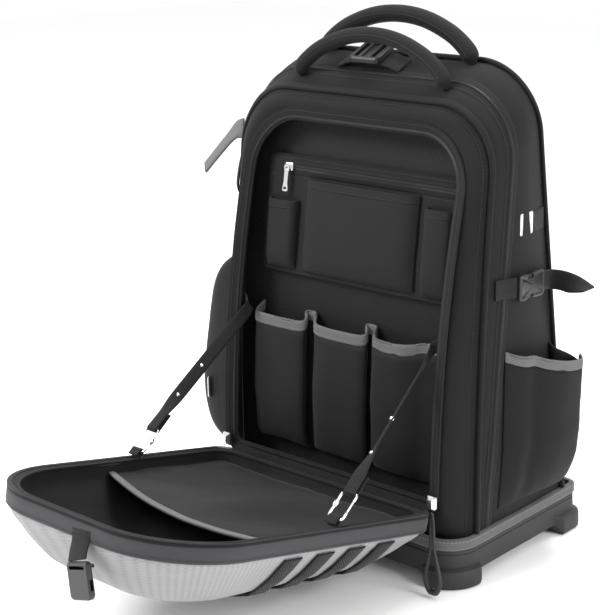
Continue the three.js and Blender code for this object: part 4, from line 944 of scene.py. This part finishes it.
on_tab, on_slider = leaning(box_middle("inner_tab")), leaning(box_middle("inner_slider"))
tab_edge = outline(3.5, -15, 15, 2.6, 1.6, fine=4)
tab_edge = [
    (x * (0.78 + 0.3 * ease((-4 - z) / 8) + 0.3 * ease((z - 6) / 6)), z, nx, nz)
    for x, z, nx, nz in tab_edge]
tab = slab("board_zip_tab", tab_edge, plate_profile(1.4, 0.35), on_tab, sharp=32)
carve(tab, (on_tab, (-2.1, -3, -12.4), (2.1, 3, -9.9)), (on_tab, (-1.5, -3, 9.2), (1.5, 3, 12)))
finish_piece(tab, bright_metal, "plated_metal", "inner_tab", body="inner_tab")
slider_edge = outline(6, -4.5, 4.5, 2.4, 2.4, fine=4)
slider = slab("board_zip_slider", slider_edge, [
    (1.5, -2), (0.4, -2), (0, -1.5), (0, 0.2), (0.8, 0.6), (2.2, 0.9), (3.4, 2.2), (3.9, 2.4),
    (4.3, 2.4)], on_slider, sharp=32)
finish_piece(slider, bright_metal, "plated_metal", "inner_slider")

# Tool pockets: one strip of cloth folded into three deep bellows and sewn to the divider, with
# its top edge bound in grey tape. The bellows sag and crease between their folds.
TOOL_LOW, TOOL_HIGH, TOOL_BULGE, TOOL_DIP, TOOL_HALF = 84, 231, 22, 8, 134
tool_fold = (
    (-1, 0.04), (-0.99, 0.5), (-0.965, 0.85), (-0.9, 0.97), (-0.75, 1), (-0.55, 0.99),
    (-0.46, 0.94), (-0.43, 0.78), (-0.465, 0.42), (-0.51, 0.12), (-0.42, 0.1), (-0.37, 0.42),
    (-0.32, 0.78),
    (-0.25, 0.94), (-0.1, 1), (0.08, 0.99), (0.18, 0.94), (0.22, 0.78), (0.185, 0.42), (0.14, 0.12),
    (0.23, 0.1), (0.265, 0.42), (0.3, 0.76), (0.36, 0.92), (0.5, 0.97), (0.61, 0.92), (0.69, 0.74),
    (0.76, 0.52), (0.84, 0.44), (0.93, 0.36), (0.965, 0.04))
tool_path = [(s * TOOL_HALF, h * TOOL_BULGE) for s, h in tool_fold]


def on_tool_panel(x, h, z):
    level = (z - TOOL_LOW) / (TOOL_HIGH - TOOL_LOW)
    return on_panel(x, 1.5 + h, z - TOOL_DIP * (h / TOOL_BULGE) * level)


tool_levels = [(mix(TOOL_LOW, TOOL_HIGH, s), h) for s, h in (
    (0, 0.12), (0.03, 0.5), (0.1, 0.78), (0.25, 0.9), (0.6, 0.97), (1, 1))]
tool_pockets = cloth(
    "tool_pockets", grid(tool_path, tool_levels, on_tool_panel, 4, 6), 1.6, ripple=(1.5, 42, 15.2))
finish_piece(tool_pockets, lining_cloth, "lining_fabric", "tool_pockets")
grey_binding = woven("grey binding", (0.13, 0.13, 0.133), 0.74, 1100, 2.0, 0.22, sheen=0.08,
                     crease_depth=0.4)
BIND_H = 9.3
binding = cloth("tool_pocket_binding", grid(
    tool_path, ((TOOL_HIGH - 0.6, 1), (TOOL_HIGH + 0.4, 1.006), (TOOL_HIGH + BIND_H - 0.6, 1.006),
                (TOOL_HIGH + BIND_H, 1)), on_tool_panel, 4, 3), 3.0, ripple=(0.35, 22, 3.3))
finish_piece(binding, grey_binding, "binding_fabric", "tool_pocket_binding")
bind_row = spline([Vector((a, h, 0)) for a, h in tool_path], 4)
finish_piece(
    stitches("tool_binding_stitches",
             [on_tool_panel(p.x, p.y + 1.75, TOOL_HIGH + 1.8) for p in bind_row[8:-6]], thread_grey,
             length=2.2, pitch=3.4, radius=0.3),
    thread_grey, "binding_fabric")

# Lid shell: moulded foam under pale grey twill with fine slanted ribs. It is stiff, deep and
# rounded, and hangs forward on its cloth hinge.
twill = woven("pale grey twill", (0.27, 0.27, 0.272), 0.62, 950, 4.0, 0.16, sheen=0.1,
              crease_depth=0.4, crease_size=9.0, fade=0.1, uneven=0.16)
LID_L, LID_HALF, LID_TAPER = 354, 151, 13
HINGE_Y, HINGE_Z, LID_TILT = -11, 72, math.radians(12.6)
LID_WALL = 5
lid_edge = outline(LID_HALF, 0, LID_L, 92, 20)
TRAY = ((0, 0), (1.5, 0.22), (12, 0.4), (24, 0.58), (45, 0.8), (96, 1.0))


def lid_point(x, v, w):
    x *= 1 - LID_TAPER / LID_HALF * v / LID_L
    sin, cos = math.sin(LID_TILT), math.cos(LID_TILT)
    return Vector((x, HINGE_Y - v * cos + w * sin, HINGE_Z + v * sin + w * cos))


def lid_depth(v):
    return mix(72, 84, v / LID_L)


def lid_ring(inset, height):
    ring = []
    for x, z, nx, nz in lid_edge:
        v = mix(LID_L / 2, z, 1 - inset / (LID_L / 2))
        ring.append(lid_point(x * (1 - inset / LID_HALF), v, height(v)))
    return ring


def tray_rings(skin, turn=1):
    section = spline([Vector((a, b, 0)) for a, b in TRAY], 4)
    section += [Vector((a, b, 0)) for a, b in ((112, 1.01), (130, 1.015), (145, 1.015))]
    rings = [
        lid_ring(p.x + skin, lambda v, p=p: -lid_depth(v) * p.y + skin * min(1, p.y * 1.25))
        for p in section]
    return rings[::turn]


shell_rings = tray_rings(0.4, -1) + tray_rings(LID_WALL)
lid_shell = loft("lid_shell", shell_rings, ripple=(0.35, 90, 2.9))
finish_piece(lid_shell, twill, "shell_fabric", "lid_shell")

# Lid lining: loose black cloth glued over the inside of the shell; it buckles where the shell
# bends, in long soft creases.
lining_rings = tray_rings(LID_WALL + 1.0, -1) + tray_rings(LID_WALL + 2.6)
lid_lining = loft("lid_lining", lining_rings, ripple=(1.5, 62, 6.6))
finish_piece(lid_lining, lining_cloth, "lining_fabric", "lid_lining")

# Lid zip: the other half of the opening's coil zip, sewn to a wide black band that wraps the
# shell's rim.
rim_cloth = woven("black rim band", (0.045, 0.045, 0.048), 0.66, 1500, 2.0, 0.12, sheen=0.12,
                  crease_depth=0.3)
lid_band = loft("lid_rim_band", [
    lid_ring(0.8, lambda v: 0.3), lid_ring(-1.4, lambda v: 0.2), lid_ring(-2.0, lambda v: -1.5),
    lid_ring(-1.9, lambda v: -6), lid_ring(-1.6, lambda v: -12), lid_ring(-1.1, lambda v: -14.6),
    lid_ring(-0.2, lambda v: -15.4), lid_ring(0.6, lambda v: -15)], hoop=True,
    ripple=(0.3, 40, 1.2))
finish_piece(lid_band, rim_cloth, "zip_tape")
rim_profile = ((-2.0, 0.3), (-2.3, 1.6), (-1.8, 3.0), (0.2, 3.5), (3, 3.2), (6.5, 3.2), (8.6, 2.7),
               (9, 1.4), (8.6, 0.3), (3, 0.3))
lid_rim = loft(
    "lid_zip_tape", [lid_ring(a, lambda v, b=b: b) for a, b in rim_profile], hoop=True,
    ripple=(0.3, 34, 9.4))
finish_piece(lid_rim, tape_cloth, "zip_tape", "lid_rim")
lid_up = Vector((0, math.sin(LID_TILT), math.cos(LID_TILT)))
lid_coil_path = lid_ring(-0.3, lambda v: 3.4)
finish_piece(
    zip_coil("lid_zip_coil", lid_coil_path + lid_coil_path[:1],
             [lid_up] * (len(lid_coil_path) + 1), pitch=2.3, reach=2.3, height=1.7, thick=1.4),
    zip_plastic, "zip_tape")
for row, (inset, height) in enumerate(((5.2, 3.5), (-2.1, -12.6))):
    ring = lid_ring(inset, lambda v, h=height: h)
    finish_piece(
        stitches(f"lid_zip_stitches_{row}", ring + ring[:1], thread_black), thread_black,
        "zip_tape")

# Lid pocket: a wide cloth pocket over the hinge half of the lid. Its free edge runs slantwise,
# sags, and is bound in grey tape.
POCKET_V = 190
pocket_half = LID_HALF - LID_WALL - 2.34 - 0.4


def pocket_edge_v(s):
    return POCKET_V + 12 * s + 16 * (1 - s * s)


def pocket_w(s, v):
    return -9 - 8 * (1 - s * s) * v / POCKET_V


def pocket_row(share, columns=36):
    row = []
    for i in range(columns + 1):
        s = -1 + 2 * i / columns
        v = mix(15.3, pocket_edge_v(s), share)
        corner = max(0, 20 - v) * 0.9
        slack = 3.0 * math.sin(math.pi * share) * (1 - s * s) * math.sin(5.2 * s + 3 * share)
        row.append(lid_point(s * (pocket_half - corner - 2.4), v, pocket_w(s, v) + slack))
    return row


lid_pocket = cloth(
    "lid_pocket", [pocket_row(i / 34) for i in range(35)], 1.6, ripple=(2.0, 52, 21.4))
finish_piece(lid_pocket, lining_cloth, "lining_fabric", "lid_pocket")
bind_rows = []
for push, lift in ((-1.4, 0), (0.3, 0.25), (3, 0.4), (5.6, 0.25), (6.3, 0)):
    row = []
    for i in range(49):
        s = -1 + i / 24
        v = pocket_edge_v(s) + push
        row.append(lid_point(s * (pocket_half - 1.2), v, pocket_w(s, v) + lift))
    bind_rows.append(row)
finish_piece(
    cloth("lid_pocket_binding", bind_rows, 3.2, ripple=(0.6, 40, 2.5)), grey_binding,
    "binding_fabric", "lid_pocket_binding")

# Lash rows: four lengths of webbing stitched across the lid's face, to hang things from; their
# ends wrap its rounded edge and are tucked under.
webbing = woven("black webbing", (0.011, 0.011, 0.012), 0.6, 620, 2.0, 0.35, sheen=0.08,
                crease_depth=0.2, fade=0.15)
LASH_T, LASH_FIRST, LASH_PITCH, LASH_W = 1.6, 57, 44, 23
lash_stops = (2.4, 4, 6, 9, 12, 16, 20, 24, 30, 37, 45, 60, 78, 96)


def lash_section(v, skin):
    rows = [(inset - skin, -lid_depth(v) * share - skin) for inset, share in TRAY]
    half = []
    for stop in lash_stops:
        inset = stop - skin
        for (r0, w0), (r1, w1) in zip(rows, rows[1:]):
            if r0 <= inset <= r1 + 1e-6:
                half.append((LID_HALF - inset, mix(w0, w1, (inset - r0) / (r1 - r0))))
                break
    right = [lid_point(x, v, w) for x, w in half]
    left = [lid_point(-x, v, w) for x, w in reversed(half)]
    middle = [lid_point(x, v, half[-1][1] - 0.3) for x in (35, 15, -15, -35)]
    return right + middle + left


for i in range(4):
    first = LASH_FIRST + LASH_PITCH * i
    skins = ((0, 1.3), (1.0, 1.75), (LASH_W / 2, 1.8), (LASH_W - 1.0, 1.75), (LASH_W, 1.3))
    lash = cloth(f"lash_row_{i + 1}", [lash_section(first + dv, skin) for dv, skin in skins],
                 LASH_T, sharp=50)
    finish_piece(lash, webbing, "webbing", f"lash_row_{i + 1}")

# Hinge: a strip of pocket cloth sewn to the lid and to the body below the opening. It bends
# when the lid is let down, and lies in a shallow sag between the two.
hinge_rows = []
for y, z in ((3.9, -15), (-1.5, -17.2), (-6.5, -18.5), (-12, -18.6), (-17.1, -17.9)):
    hinge_rows.append([Vector((-120 + 8 * i, y, HINGE_Z + z)) for i in range(31)])
finish_piece(
    cloth("lid_hinge", hinge_rows, 1.6, ripple=(0.5, 30, 5.5)), lining_cloth, "lining_fabric",
    "lid_hinge")


# Lid strap: a webbing loop sewn to the lid's outer end, which carries the female half of a
# side-release buckle. It hangs a little twisted.
def strap(name, points, width, thickness, *directions, steps=5):
    """Webbing along points; the width directions are spread evenly along it."""
    path = spline(points, steps)
    edge = ((-0.5, -0.2), (-0.47, -0.5), (-0.2, -0.52), (0.2, -0.52), (0.47, -0.5), (0.5, -0.2),
            (0.5, 0.2), (0.47, 0.5), (0.2, 0.52), (-0.2, 0.52), (-0.47, 0.5), (-0.5, 0.2))
    rings = []
    for i, p in enumerate(path):
        along = (path[min(i + 1, len(path) - 1)] - path[max(i - 1, 0)]).normalized()
        place = i / (len(path) - 1) * (len(directions) - 1)
        k = min(int(place), max(len(directions) - 2, 0))
        across = directions[k].lerp(directions[min(k + 1, len(directions) - 1)], place - k)
        across = (across - along * across.dot(along)).normalized()
        normal = along.cross(across)
        rings.append([
            p + across * (u * width) + normal * (v * thickness) for u, v in edge])
    return loft(name, rings, sharp=50)


HANG_X, HANG_ASIDE = 26, 0.28
hang_points = [
    lid_point(0, LID_L + 1.3 + out, w) + Vector((HANG_X + x, 0, 0))
    for x, out, w in ((0, 0, -6), (1, 0, -14), (4, 4, -23), (7, 7, -31))]
hang_across = Vector((math.cos(HANG_ASIDE), 0, math.sin(HANG_ASIDE)))
lid_strap = strap("lid_strap", hang_points, 25, 2, Vector((1, 0, 0)), hang_across, hang_across)
finish_piece(lid_strap, webbing, "webbing", "lid_strap")
black_plastic = moulded("black buckle plastic", (0.014, 0.014, 0.015), 0.36, 1800, 0.02, swing=0.12)
buckle_middle = box_middle("lid_buckle")
hang_down = Vector((math.sin(HANG_ASIDE), -0.12, -math.cos(HANG_ASIDE))).normalized()
hang_out = hang_down.cross(hang_across).normalized()


def on_hanging(x, h, z):
    return buckle_middle + hang_across * x - hang_down * z - hang_out * h


lid_buckle = slab("lid_buckle", outline(14.5, -17, 17, 4, 5, fine=4), [
    (4, -3.4), (1, -3.4), (0, -2.2), (0, 2.0), (1.2, 3.3), (2.6, 3.5), (3.4, 2.9), (6, 2.9)],
    on_hanging)
carve(lid_buckle, (on_hanging, (-10.8, -8, 10.4), (10.8, 8, 13.6)),
      (on_hanging, (-9.5, -1.6, -18), (9.5, 1.8, 6)), (on_hanging, (-17, -1.6, -9), (17, 1.6, 1)))
finish_piece(lid_buckle, black_plastic, "black_plastic", "lid_buckle")

# Tethers: narrow webbing from the opening's sides to snap hooks on the lid, each with two pale
# rivets. They hold the lid level; the hooks clip to webbing loops sewn inside its rim.
TETHER_W, TETHER_T, TETHER_Z = 14, 1.6, 240
TETHER_X, TETHER_TOP_X, TETHER_V, HOOK_L, WIRE = 139, 129, 150, 32, 2.4
LOOP_R = WIRE * 0.72 + 0.3 + TETHER_T / 2
tether_top = Vector((TETHER_TOP_X, front_y(TETHER_Z) + 3, TETHER_Z))
loop_seat = lid_point(0, TETHER_V, 3 + 2.1)
loop_seat.x = TETHER_X
pull = tether_top - loop_seat
pull.x = 0
pull.normalize()
face = Vector((1, 0, 0)).cross(pull)
hook_centre = loop_seat + pull * (7 + HOOK_L / 2)


def turn_round(centre, start, side):
    return [
        centre + face * (side * LOOP_R * math.cos(i / 6 * math.pi))
        - start * (LOOP_R * math.sin(i / 6 * math.pi)) for i in range(7)]


def bar(name, points, radius, sides=12, steps=6, closed=False, fullness=None):
    """Round bar along a curve; fullness scales its radius along it."""
    path = spline(points, steps, closed)
    count = len(path)
    side = None
    rings = []
    for i, p in enumerate(path):
        before = path[(i - 1) % count] if closed else path[max(i - 1, 0)]
        after = path[(i + 1) % count] if closed else path[min(i + 1, count - 1)]
        along = (after - before).normalized()
        side = side or along.orthogonal()
        side = (side - along * side.dot(along)).normalized()
        other = along.cross(side)
        r = radius * (fullness(i / (count - 1)) if fullness else 1.0)
        rings.append([
            p + side * (r * math.cos(k / sides * math.tau))
            + other * (r * math.sin(k / sides * math.tau)) for k in range(sides)])
    return loft(name, rings, hoop=closed, sharp=60)


for tag, side in (("R", 1), ("L", -1)):
    def mirrored(points, side=side):
        return [Vector((p.x * side, p.y, p.z)) for p in points]

    top = hook_centre + pull * (HOOK_L / 2 - WIRE / 2)
    low = hook_centre - pull * (HOOK_L / 2 - WIRE / 2)
    start_y = front_y(TETHER_Z) + 3
    tether_points = [
        Vector((OPEN_HALF + 2, start_y + TETHER_T * 2.1, TETHER_Z + 8)),
        Vector((OPEN_HALF - 6, start_y + TETHER_T * 2.1, TETHER_Z + 6)),
        Vector((TETHER_TOP_X + 4, start_y + TETHER_T, TETHER_Z + 4)),
        tether_top - pull * 4]
    tether_points += [
        tether_top.lerp(top, s) + face * (LOOP_R * s) for s in (0.2, 0.45, 0.7, 0.88)]
    tether_points += turn_round(top, pull, 1)
    tether_points.append(top - face * LOOP_R + pull * 22)
    twist = Vector((0.67 * side, -0.43, 0.6))
    level = Vector((side, 0, 0))
    turns = [Vector((0, 0, 1)), Vector((0, 0, 1)), Vector((0, -0.3, 0.95)),
             Vector((0.2 * side, -0.55, 0.8)), twist, twist, twist]
    turns += [level] * (len(tether_points) - 7)
    tether = strap(f"tether_{tag}", mirrored(tether_points), TETHER_W, TETHER_T, *turns, steps=4)
    finish_piece(tether, webbing, "webbing", f"tether_{tag}")
    for spot, share in enumerate((0.5, 0.74)):
        middle = mirrored([tether_top.lerp(top, share) + face * (LOOP_R * share)])[0]
        stud = bar(f"tether_stud_{tag}_{spot}", [
            middle + Vector((0, -0.6, 0.2)), middle + Vector((0, -1.3, 0.5)),
            middle + Vector((0, -1.9, 0.7))], 2.6, sides=14, steps=2,
            fullness=lambda s: 1 - 0.35 * s * s)
        finish_piece(stud, bright_metal, "plated_metal")
    loop_points = [low + face * LOOP_R - pull * 7] + turn_round(low, -pull, 1)
    loop_points.append(low - face * LOOP_R - pull * 7)
    lid_loop = strap(f"lid_loop_{tag}", mirrored(loop_points), TETHER_W - 1, TETHER_T, level)
    finish_piece(lid_loop, webbing, "webbing", f"lid_loop_{tag}")

    def on_hook(x, y, h=0.0, side=side):
        p = hook_centre + Vector((x, 0, 0)) + pull * y + face * h
        return Vector((p.x * side, p.y, p.z))

    half, high = 10 - WIRE / 2, HOOK_L / 2 - WIRE / 2
    hook_line = [on_hook(x, y) for x, y in (
        (half, 6.6), (half, 12), (half - 2.6, high), (0, high), (2.6 - half, high), (-half, 12),
        (-half, 5), (-half + 0.6, 0), (-half, -5), (-half, -12), (2.6 - half, -high), (0, -high),
        (half - 2.6, -high), (half, -12), (half, -6.6))]
    hook = bar(f"snap_hook_{tag}", hook_line, WIRE / 2 + 0.15, steps=4)
    finish_piece(hook, bright_metal, "plated_metal", f"snap_hook_{tag}")
    swivel = bar(f"hook_barrel_{tag}", [on_hook(-half, y) for y in (-3.4, -2, 0, 2, 3.4)], 2.3,
                 steps=2, fullness=lambda s: 0.8 + 0.35 * math.sin(math.pi * s))
    finish_piece(swivel, bright_metal, "plated_metal")
    gate = bar(f"hook_gate_{tag}", [on_hook(half, y) for y in (-5.8, -3, 0, 3, 6.0)], 0.95, steps=2)
    finish_piece(
        gate, bright_metal, "plated_metal", f"hook_gate_{tag}", body=f"hook_gate_{tag}")

# Handles: two padded rolls of body cloth with a stitched seam along the front. They narrow
# towards their ends, which are sewn to the crown on either side of the main zip.
HANDLE_HALF = 99


def crown_at(y):
    z = BODY_TOP
    for _ in range(4):
        z = BODY_TOP + TOP_RISE * depth_share(y, z) + swell(y, z)
    return z


handle_path = ((-1, 0), (-0.985, 0.12), (-0.92, 0.32), (-0.7, 0.64), (-0.36, 0.91), (0, 1),
               (0.36, 0.91), (0.7, 0.64), (0.92, 0.32), (0.985, 0.12), (1, 0))
for name, y, height, radius, seat in (
        ("handle_front", 69, 48, 8.5, 1.2), ("handle_rear", 114, 46, 9.5, 0.42)):
    foot = crown_at(y) + radius * 0.42 * (crown_at(y + 3) - crown_at(y)) / 3 + seat
    handle_points = [
        Vector((s * HANDLE_HALF, y + 4 * h, foot + height * h)) for s, h in handle_path]
    handle = bar(name, handle_points, radius * 0.97, sides=28,
                 fullness=lambda s: mix(0.42, 1, ease(min(s, 1 - s) / 0.13)))
    finish_piece(handle, body_cloth, "body_fabric", name)
    seam = [p + Vector((0, -radius * 0.99, 0.6)) for p in spline(handle_points, 6)[8:-8]]
    finish_piece(stitches(name + "_stitches", seam, thread_black), thread_black, "body_fabric")

# Top strap: webbing between the handles, running through a plastic ladder buckle near its left
# end.
CROWN_Y = 96
crown_slope = math.atan2(crown_at(104) - crown_at(88), 16)
crown_up = Vector((0, -math.sin(crown_slope), math.cos(crown_slope)))
crown_along = Vector((0, math.cos(crown_slope), math.sin(crown_slope)))
top_points = [
    Vector((-16 + s * 84, CROWN_Y, crown_at(CROWN_Y))) + crown_up * (2.2 + 8 * lift)
    for s, lift in ((-0.5, 0), (-0.42, 0.3), (-0.3, 0.8), (-0.1, 1), (0.1, 1), (0.3, 0.8),
                    (0.42, 0.3), (0.5, 0))]
top_strap = strap("top_strap", top_points, 25, 2, crown_along)
finish_piece(top_strap, webbing, "webbing", "top_strap")


def standing(middle, across, up, out):
    """Place on a plate: x along across, z along up, h along out."""
    return lambda x, h, z: middle + across * x + up * z + out * h


on_ladder = standing(box_middle("top_buckle"), crown_along, Vector((-1, 0, 0)), crown_up)
ladder = slab("top_buckle", outline(16.8, -19.8, 19.8, 5, 5, fine=4), plate_profile(6.8, 1.2),
              on_ladder)
carve(ladder, (on_ladder, (-12.8, -6, -14.5), (12.8, 6, -8.5)),
      (on_ladder, (-12.8, -6, 8.5), (12.8, 6, 14.5)), (on_ladder, (-12.8, 1.8, -4), (12.8, 6, 4)))
finish_piece(ladder, black_plastic, "black_plastic", "top_buckle")

# Right side pocket: a bellows pocket of body cloth whose outer fold stands away from the pack,
# its top edge bound in grey tape.
SIDE_Y0, SIDE_Y1, SIDE_OUT, SIDE_FALL, SIDE_LOW, SIDE_HIGH = 74, 164, 38, 22, 58, 222
side_fold = ((0, 0), (0.05, 0.1), (0.2, 0.3), (0.34, 0.36), (0.48, 0.58), (0.72, 0.84),
             (0.95, 0.97), (1.06, 0.98), (1.11, 0.86), (1.08, 0.55), (0.97, 0.2), (0.98, 0))


def side_point(side, y, z, out):
    return Vector((side * (HALF_W + swell(y, z) + out), y, z))


def on_side_pocket(y, h, z):
    level = (z - SIDE_LOW) / (SIDE_HIGH - SIDE_LOW)
    return side_point(1, y, z - SIDE_FALL * h / SIDE_OUT * level, 1.8 + h)


side_path = [(mix(SIDE_Y0, SIDE_Y1, s), h * SIDE_OUT) for s, h in side_fold]
side_levels = [(mix(SIDE_LOW, SIDE_HIGH, s), h) for s, h in (
    (0, 0.12), (0.08, 0.5), (0.3, 0.86), (0.65, 0.97), (1, 1))]
side_pocket = cloth("side_pocket", grid(side_path, side_levels, on_side_pocket, 6, 9), 2.0,
                    ripple=(1.4, 44, 31.2))
finish_piece(side_pocket, body_cloth, "body_fabric", "side_pocket")
finish_piece(
    cloth("side_pocket_binding", grid(
        side_path[:9], ((SIDE_HIGH - 0.4, 1), (SIDE_HIGH + 0.6, 1.004), (SIDE_HIGH + 8.6, 1.004),
                        (SIDE_HIGH + 9.3, 1)), on_side_pocket, 6, 3), 3.0, ripple=(0.3, 22, 3.9)),
    grey_binding, "binding_fabric", "side_pocket_binding")

# Side strap: webbing with a side-release buckle across the right gusset, its loose end folded
# back on itself and standing out.


def on_side(y, z, out):
    return side_point(1, y, z, out + 3.9)


upright = Vector((0, 0, 1))
side_strap = strap(
    "side_strap", [on_side(56, 300, -0.2), on_side(70, 300, 0), on_side(82.7, 299.6, 3)], 21, 2,
    upright)
finish_piece(side_strap, webbing, "webbing", "side_strap")
strap_end = strap("side_strap_end", [
    on_side(129.3, 297, 3), on_side(141.2, 296, 3), on_side(150, 295, 6), on_side(152, 295, 18),
    on_side(149, 294, 34), on_side(148, 292, 52)], 21, 2, upright, upright,
    Vector((-0.3, 0.4, 0.9)), Vector((-0.5, 0.8, 0.1)))
finish_piece(strap_end, webbing, "webbing", "side_strap_end")
outward, rearward = Vector((1, 0, 0)), Vector((0, 1, 0))
on_release = standing(box_middle("side_buckle"), upright, rearward, outward)
release_edge = [
    (x * (1 - 0.12 * math.exp(-((z + 3) / 7) ** 2)), z, nx, nz)
    for x, z, nx, nz in outline(13.8, -21.8, 21.8, 5, 4, fine=4)]
release = slab("side_buckle", release_edge, [
    (4, -3.3), (1, -3.3), (0, -2.2), (0, 1.6), (1.2, 2.9), (2.4, 3.3), (3.4, 2.8), (6, 2.8)],
    on_release)
carve(release, (on_release, (-10.5, -8, 14), (10.5, 8, 17)),
      (on_release, (-16, 1.2, -10), (-8.4, 6, 1)), (on_release, (8.4, 1.2, -10), (16, 6, 1)))
finish_piece(release, black_plastic, "black_plastic", "side_buckle")

# Clip tab: a short webbing tab sewn to the right gusset, with a bright metal clip plate that
# shows as two bars at its front end.
clip_tab = strap("clip_tab", [
    on_side(116.3, 362, -2.2), on_side(129, 362, -1.9), on_side(142, 362, -2.1)], 22, 2, upright)
finish_piece(clip_tab, webbing, "webbing", "clip_tab")
on_clip = standing(box_middle("clip_plate"), upright, rearward, outward)
clip = slab("clip_plate", outline(11.8, -11.3, 11.3, 2.5, 2.5, fine=4), plate_profile(1.9, 0.5),
            on_clip, sharp=32)
carve(clip, (on_clip, (-8, -3, -4.5), (8, 3, 4.5)))
finish_piece(clip, bright_metal, "plated_metal", "clip_plate")

# Left pouch: a deep bag of body cloth swelling from the left gusset, with a zip slider on its
# front edge.
POUCH_Y0, POUCH_Y1, POUCH_OUT, POUCH_LOW, POUCH_HIGH = 50, 150, 86, 47.3, 284
pouch_fold = ((0, 0), (0.03, 0.5), (0.1, 0.82), (0.22, 0.95), (0.45, 1), (0.72, 1), (0.88, 0.93),
              (0.96, 0.76), (0.99, 0.45), (1, 0))
pouch_rows = ((0, 0.04), (0.02, 0.62), (0.1, 0.93), (0.26, 1), (0.45, 0.95), (0.65, 0.84),
              (0.82, 0.7), (0.92, 0.52), (0.98, 0.28), (1, 0.04))
pouch_path = [(mix(POUCH_Y1, POUCH_Y0, s), h * POUCH_OUT) for s, h in pouch_fold]
side_pouch = cloth("side_pouch", grid(
    pouch_path, [(mix(POUCH_LOW, POUCH_HIGH, s), h) for s, h in pouch_rows],
    lambda y, h, z: side_point(-1, y, z, 3.8 + h), 6, 6), 2.2, ripple=(1.6, 70, 40.1))
finish_piece(side_pouch, body_cloth, "body_fabric", "side_pouch")


def slider_body(name, node, across, up, out, half, high, thick):
    """Zip slider: a crowned shield with a raised bridge for its pull."""
    place = standing(box_middle(node), across, up, out)
    body = slab(name, outline(half, -high, high, half * 0.5, half * 0.5, fine=4), [
        (half * 0.5, -thick), (0.5, -thick), (0, -thick + 0.5), (0, 0), (half * 0.35, thick * 0.3),
        (half * 0.5, thick * 0.8), (half * 0.7, thick)], place, sharp=32)
    return finish_piece(body, bright_metal, "plated_metal", node)


slider_body("pouch_slider", "pouch_slider", rearward, upright, Vector((-1, 0, 0)), 4.4, 12.8, 1.5)

# Side tab and pull: a grey binding tab sewn in at the left seam, and above the pouch a moulded
# rubber loop on the zip.
grey_tab_points = [
    Vector((-180.1, seam_y(430) + 10, 430)) + Vector(step)
    for step in ((0, 0, 0), (-10, -3, -5), (-26, -11, -25), (-43, -20, -48))]
finish_piece(
    strap("side_tab", grey_tab_points, 25, 3, Vector((0.2, 0.55, 0.8))), grey_binding,
    "binding_fabric", "side_tab")
soft_rubber = moulded("soft black rubber", (0.012, 0.012, 0.0125), 0.5, 900, 0.05)
side_loop = [
    Vector((-175.4 + 4 * h, seam_y(400) + 5.6 + y, 400 + 42 * h)) for y, h in (
        (0, 0), (4, -0.3), (6, -0.7), (3, -0.97), (-2, -1), (-6, -0.75), (-4, -0.3))]
finish_piece(
    bar("side_pull", side_loop, 1.7, closed=True), soft_rubber, "soft_rubber", "side_pull")

# Front sliders: the two bright sliders of the opening's zip, parked at its lower corners. The
# right one carries a loop of black rubber, thicker round its end.
for tag in ("R", "L"):
    slider_body("front_slider_" + tag, "front_slider_" + tag, Vector((1, 0, 0)), upright,
                Vector((0, -1, 0)), 5.4, 7.8, 3)
front_loop = [
    Vector((149 + x + 12 * h, -12.1 - 13 * h, 76 - 79 * h)) for x, h in (
        (0, 0), (2, 0.18), (2.5, 0.45), (6, 0.64), (9, 0.84), (5, 0.98), (0, 1), (-5, 0.98),
        (-9, 0.84), (-6, 0.64), (-2.5, 0.45), (-2, 0.18))]
finish_piece(
    bar("front_pull", front_loop, 1.7, closed=True,
        fullness=lambda s: 0.9 + 1.0 * ease((0.5 - abs(s - 0.5)) / 0.3 - 0.5)),
    soft_rubber, "soft_rubber", "front_pull_R")

# Shoulder straps: foam pads covered in body cloth that hang in an arc behind the back panel, with
# webbing from their ends to the lower corners.
for tag, side in (("R", 1), ("L", -1)):
    strap_points = []
    for up, out, aside in ((1, 0, 0), (0.9, 0.3, 0.1), (0.7, 0.85, 0.25), (0.45, 1, 0.5),
                           (0.2, 0.8, 0.8), (0, 0.35, 1)):
        z = mix(170, 442, up)
        strap_points.append(
            Vector((side * (62 + 34 * aside), rear_y(z) + 20.4 + 34 * out, z)))
    end = strap_points[-1]
    pad = strap("shoulder_pad_" + tag, strap_points, 61, 12.6, outward, steps=8)
    finish_piece(pad, body_cloth, "body_fabric", "shoulder_strap_" + tag)
    tail = strap("shoulder_webbing_" + tag, [
        end + upright * 3, end + Vector((14 * side, 0, -30)),
        Vector((146 * side, rear_y(70) + 15.6, 70))], 25, 2, Vector((1, 0, 0.3 * side)))
    finish_piece(tail, webbing, "webbing")
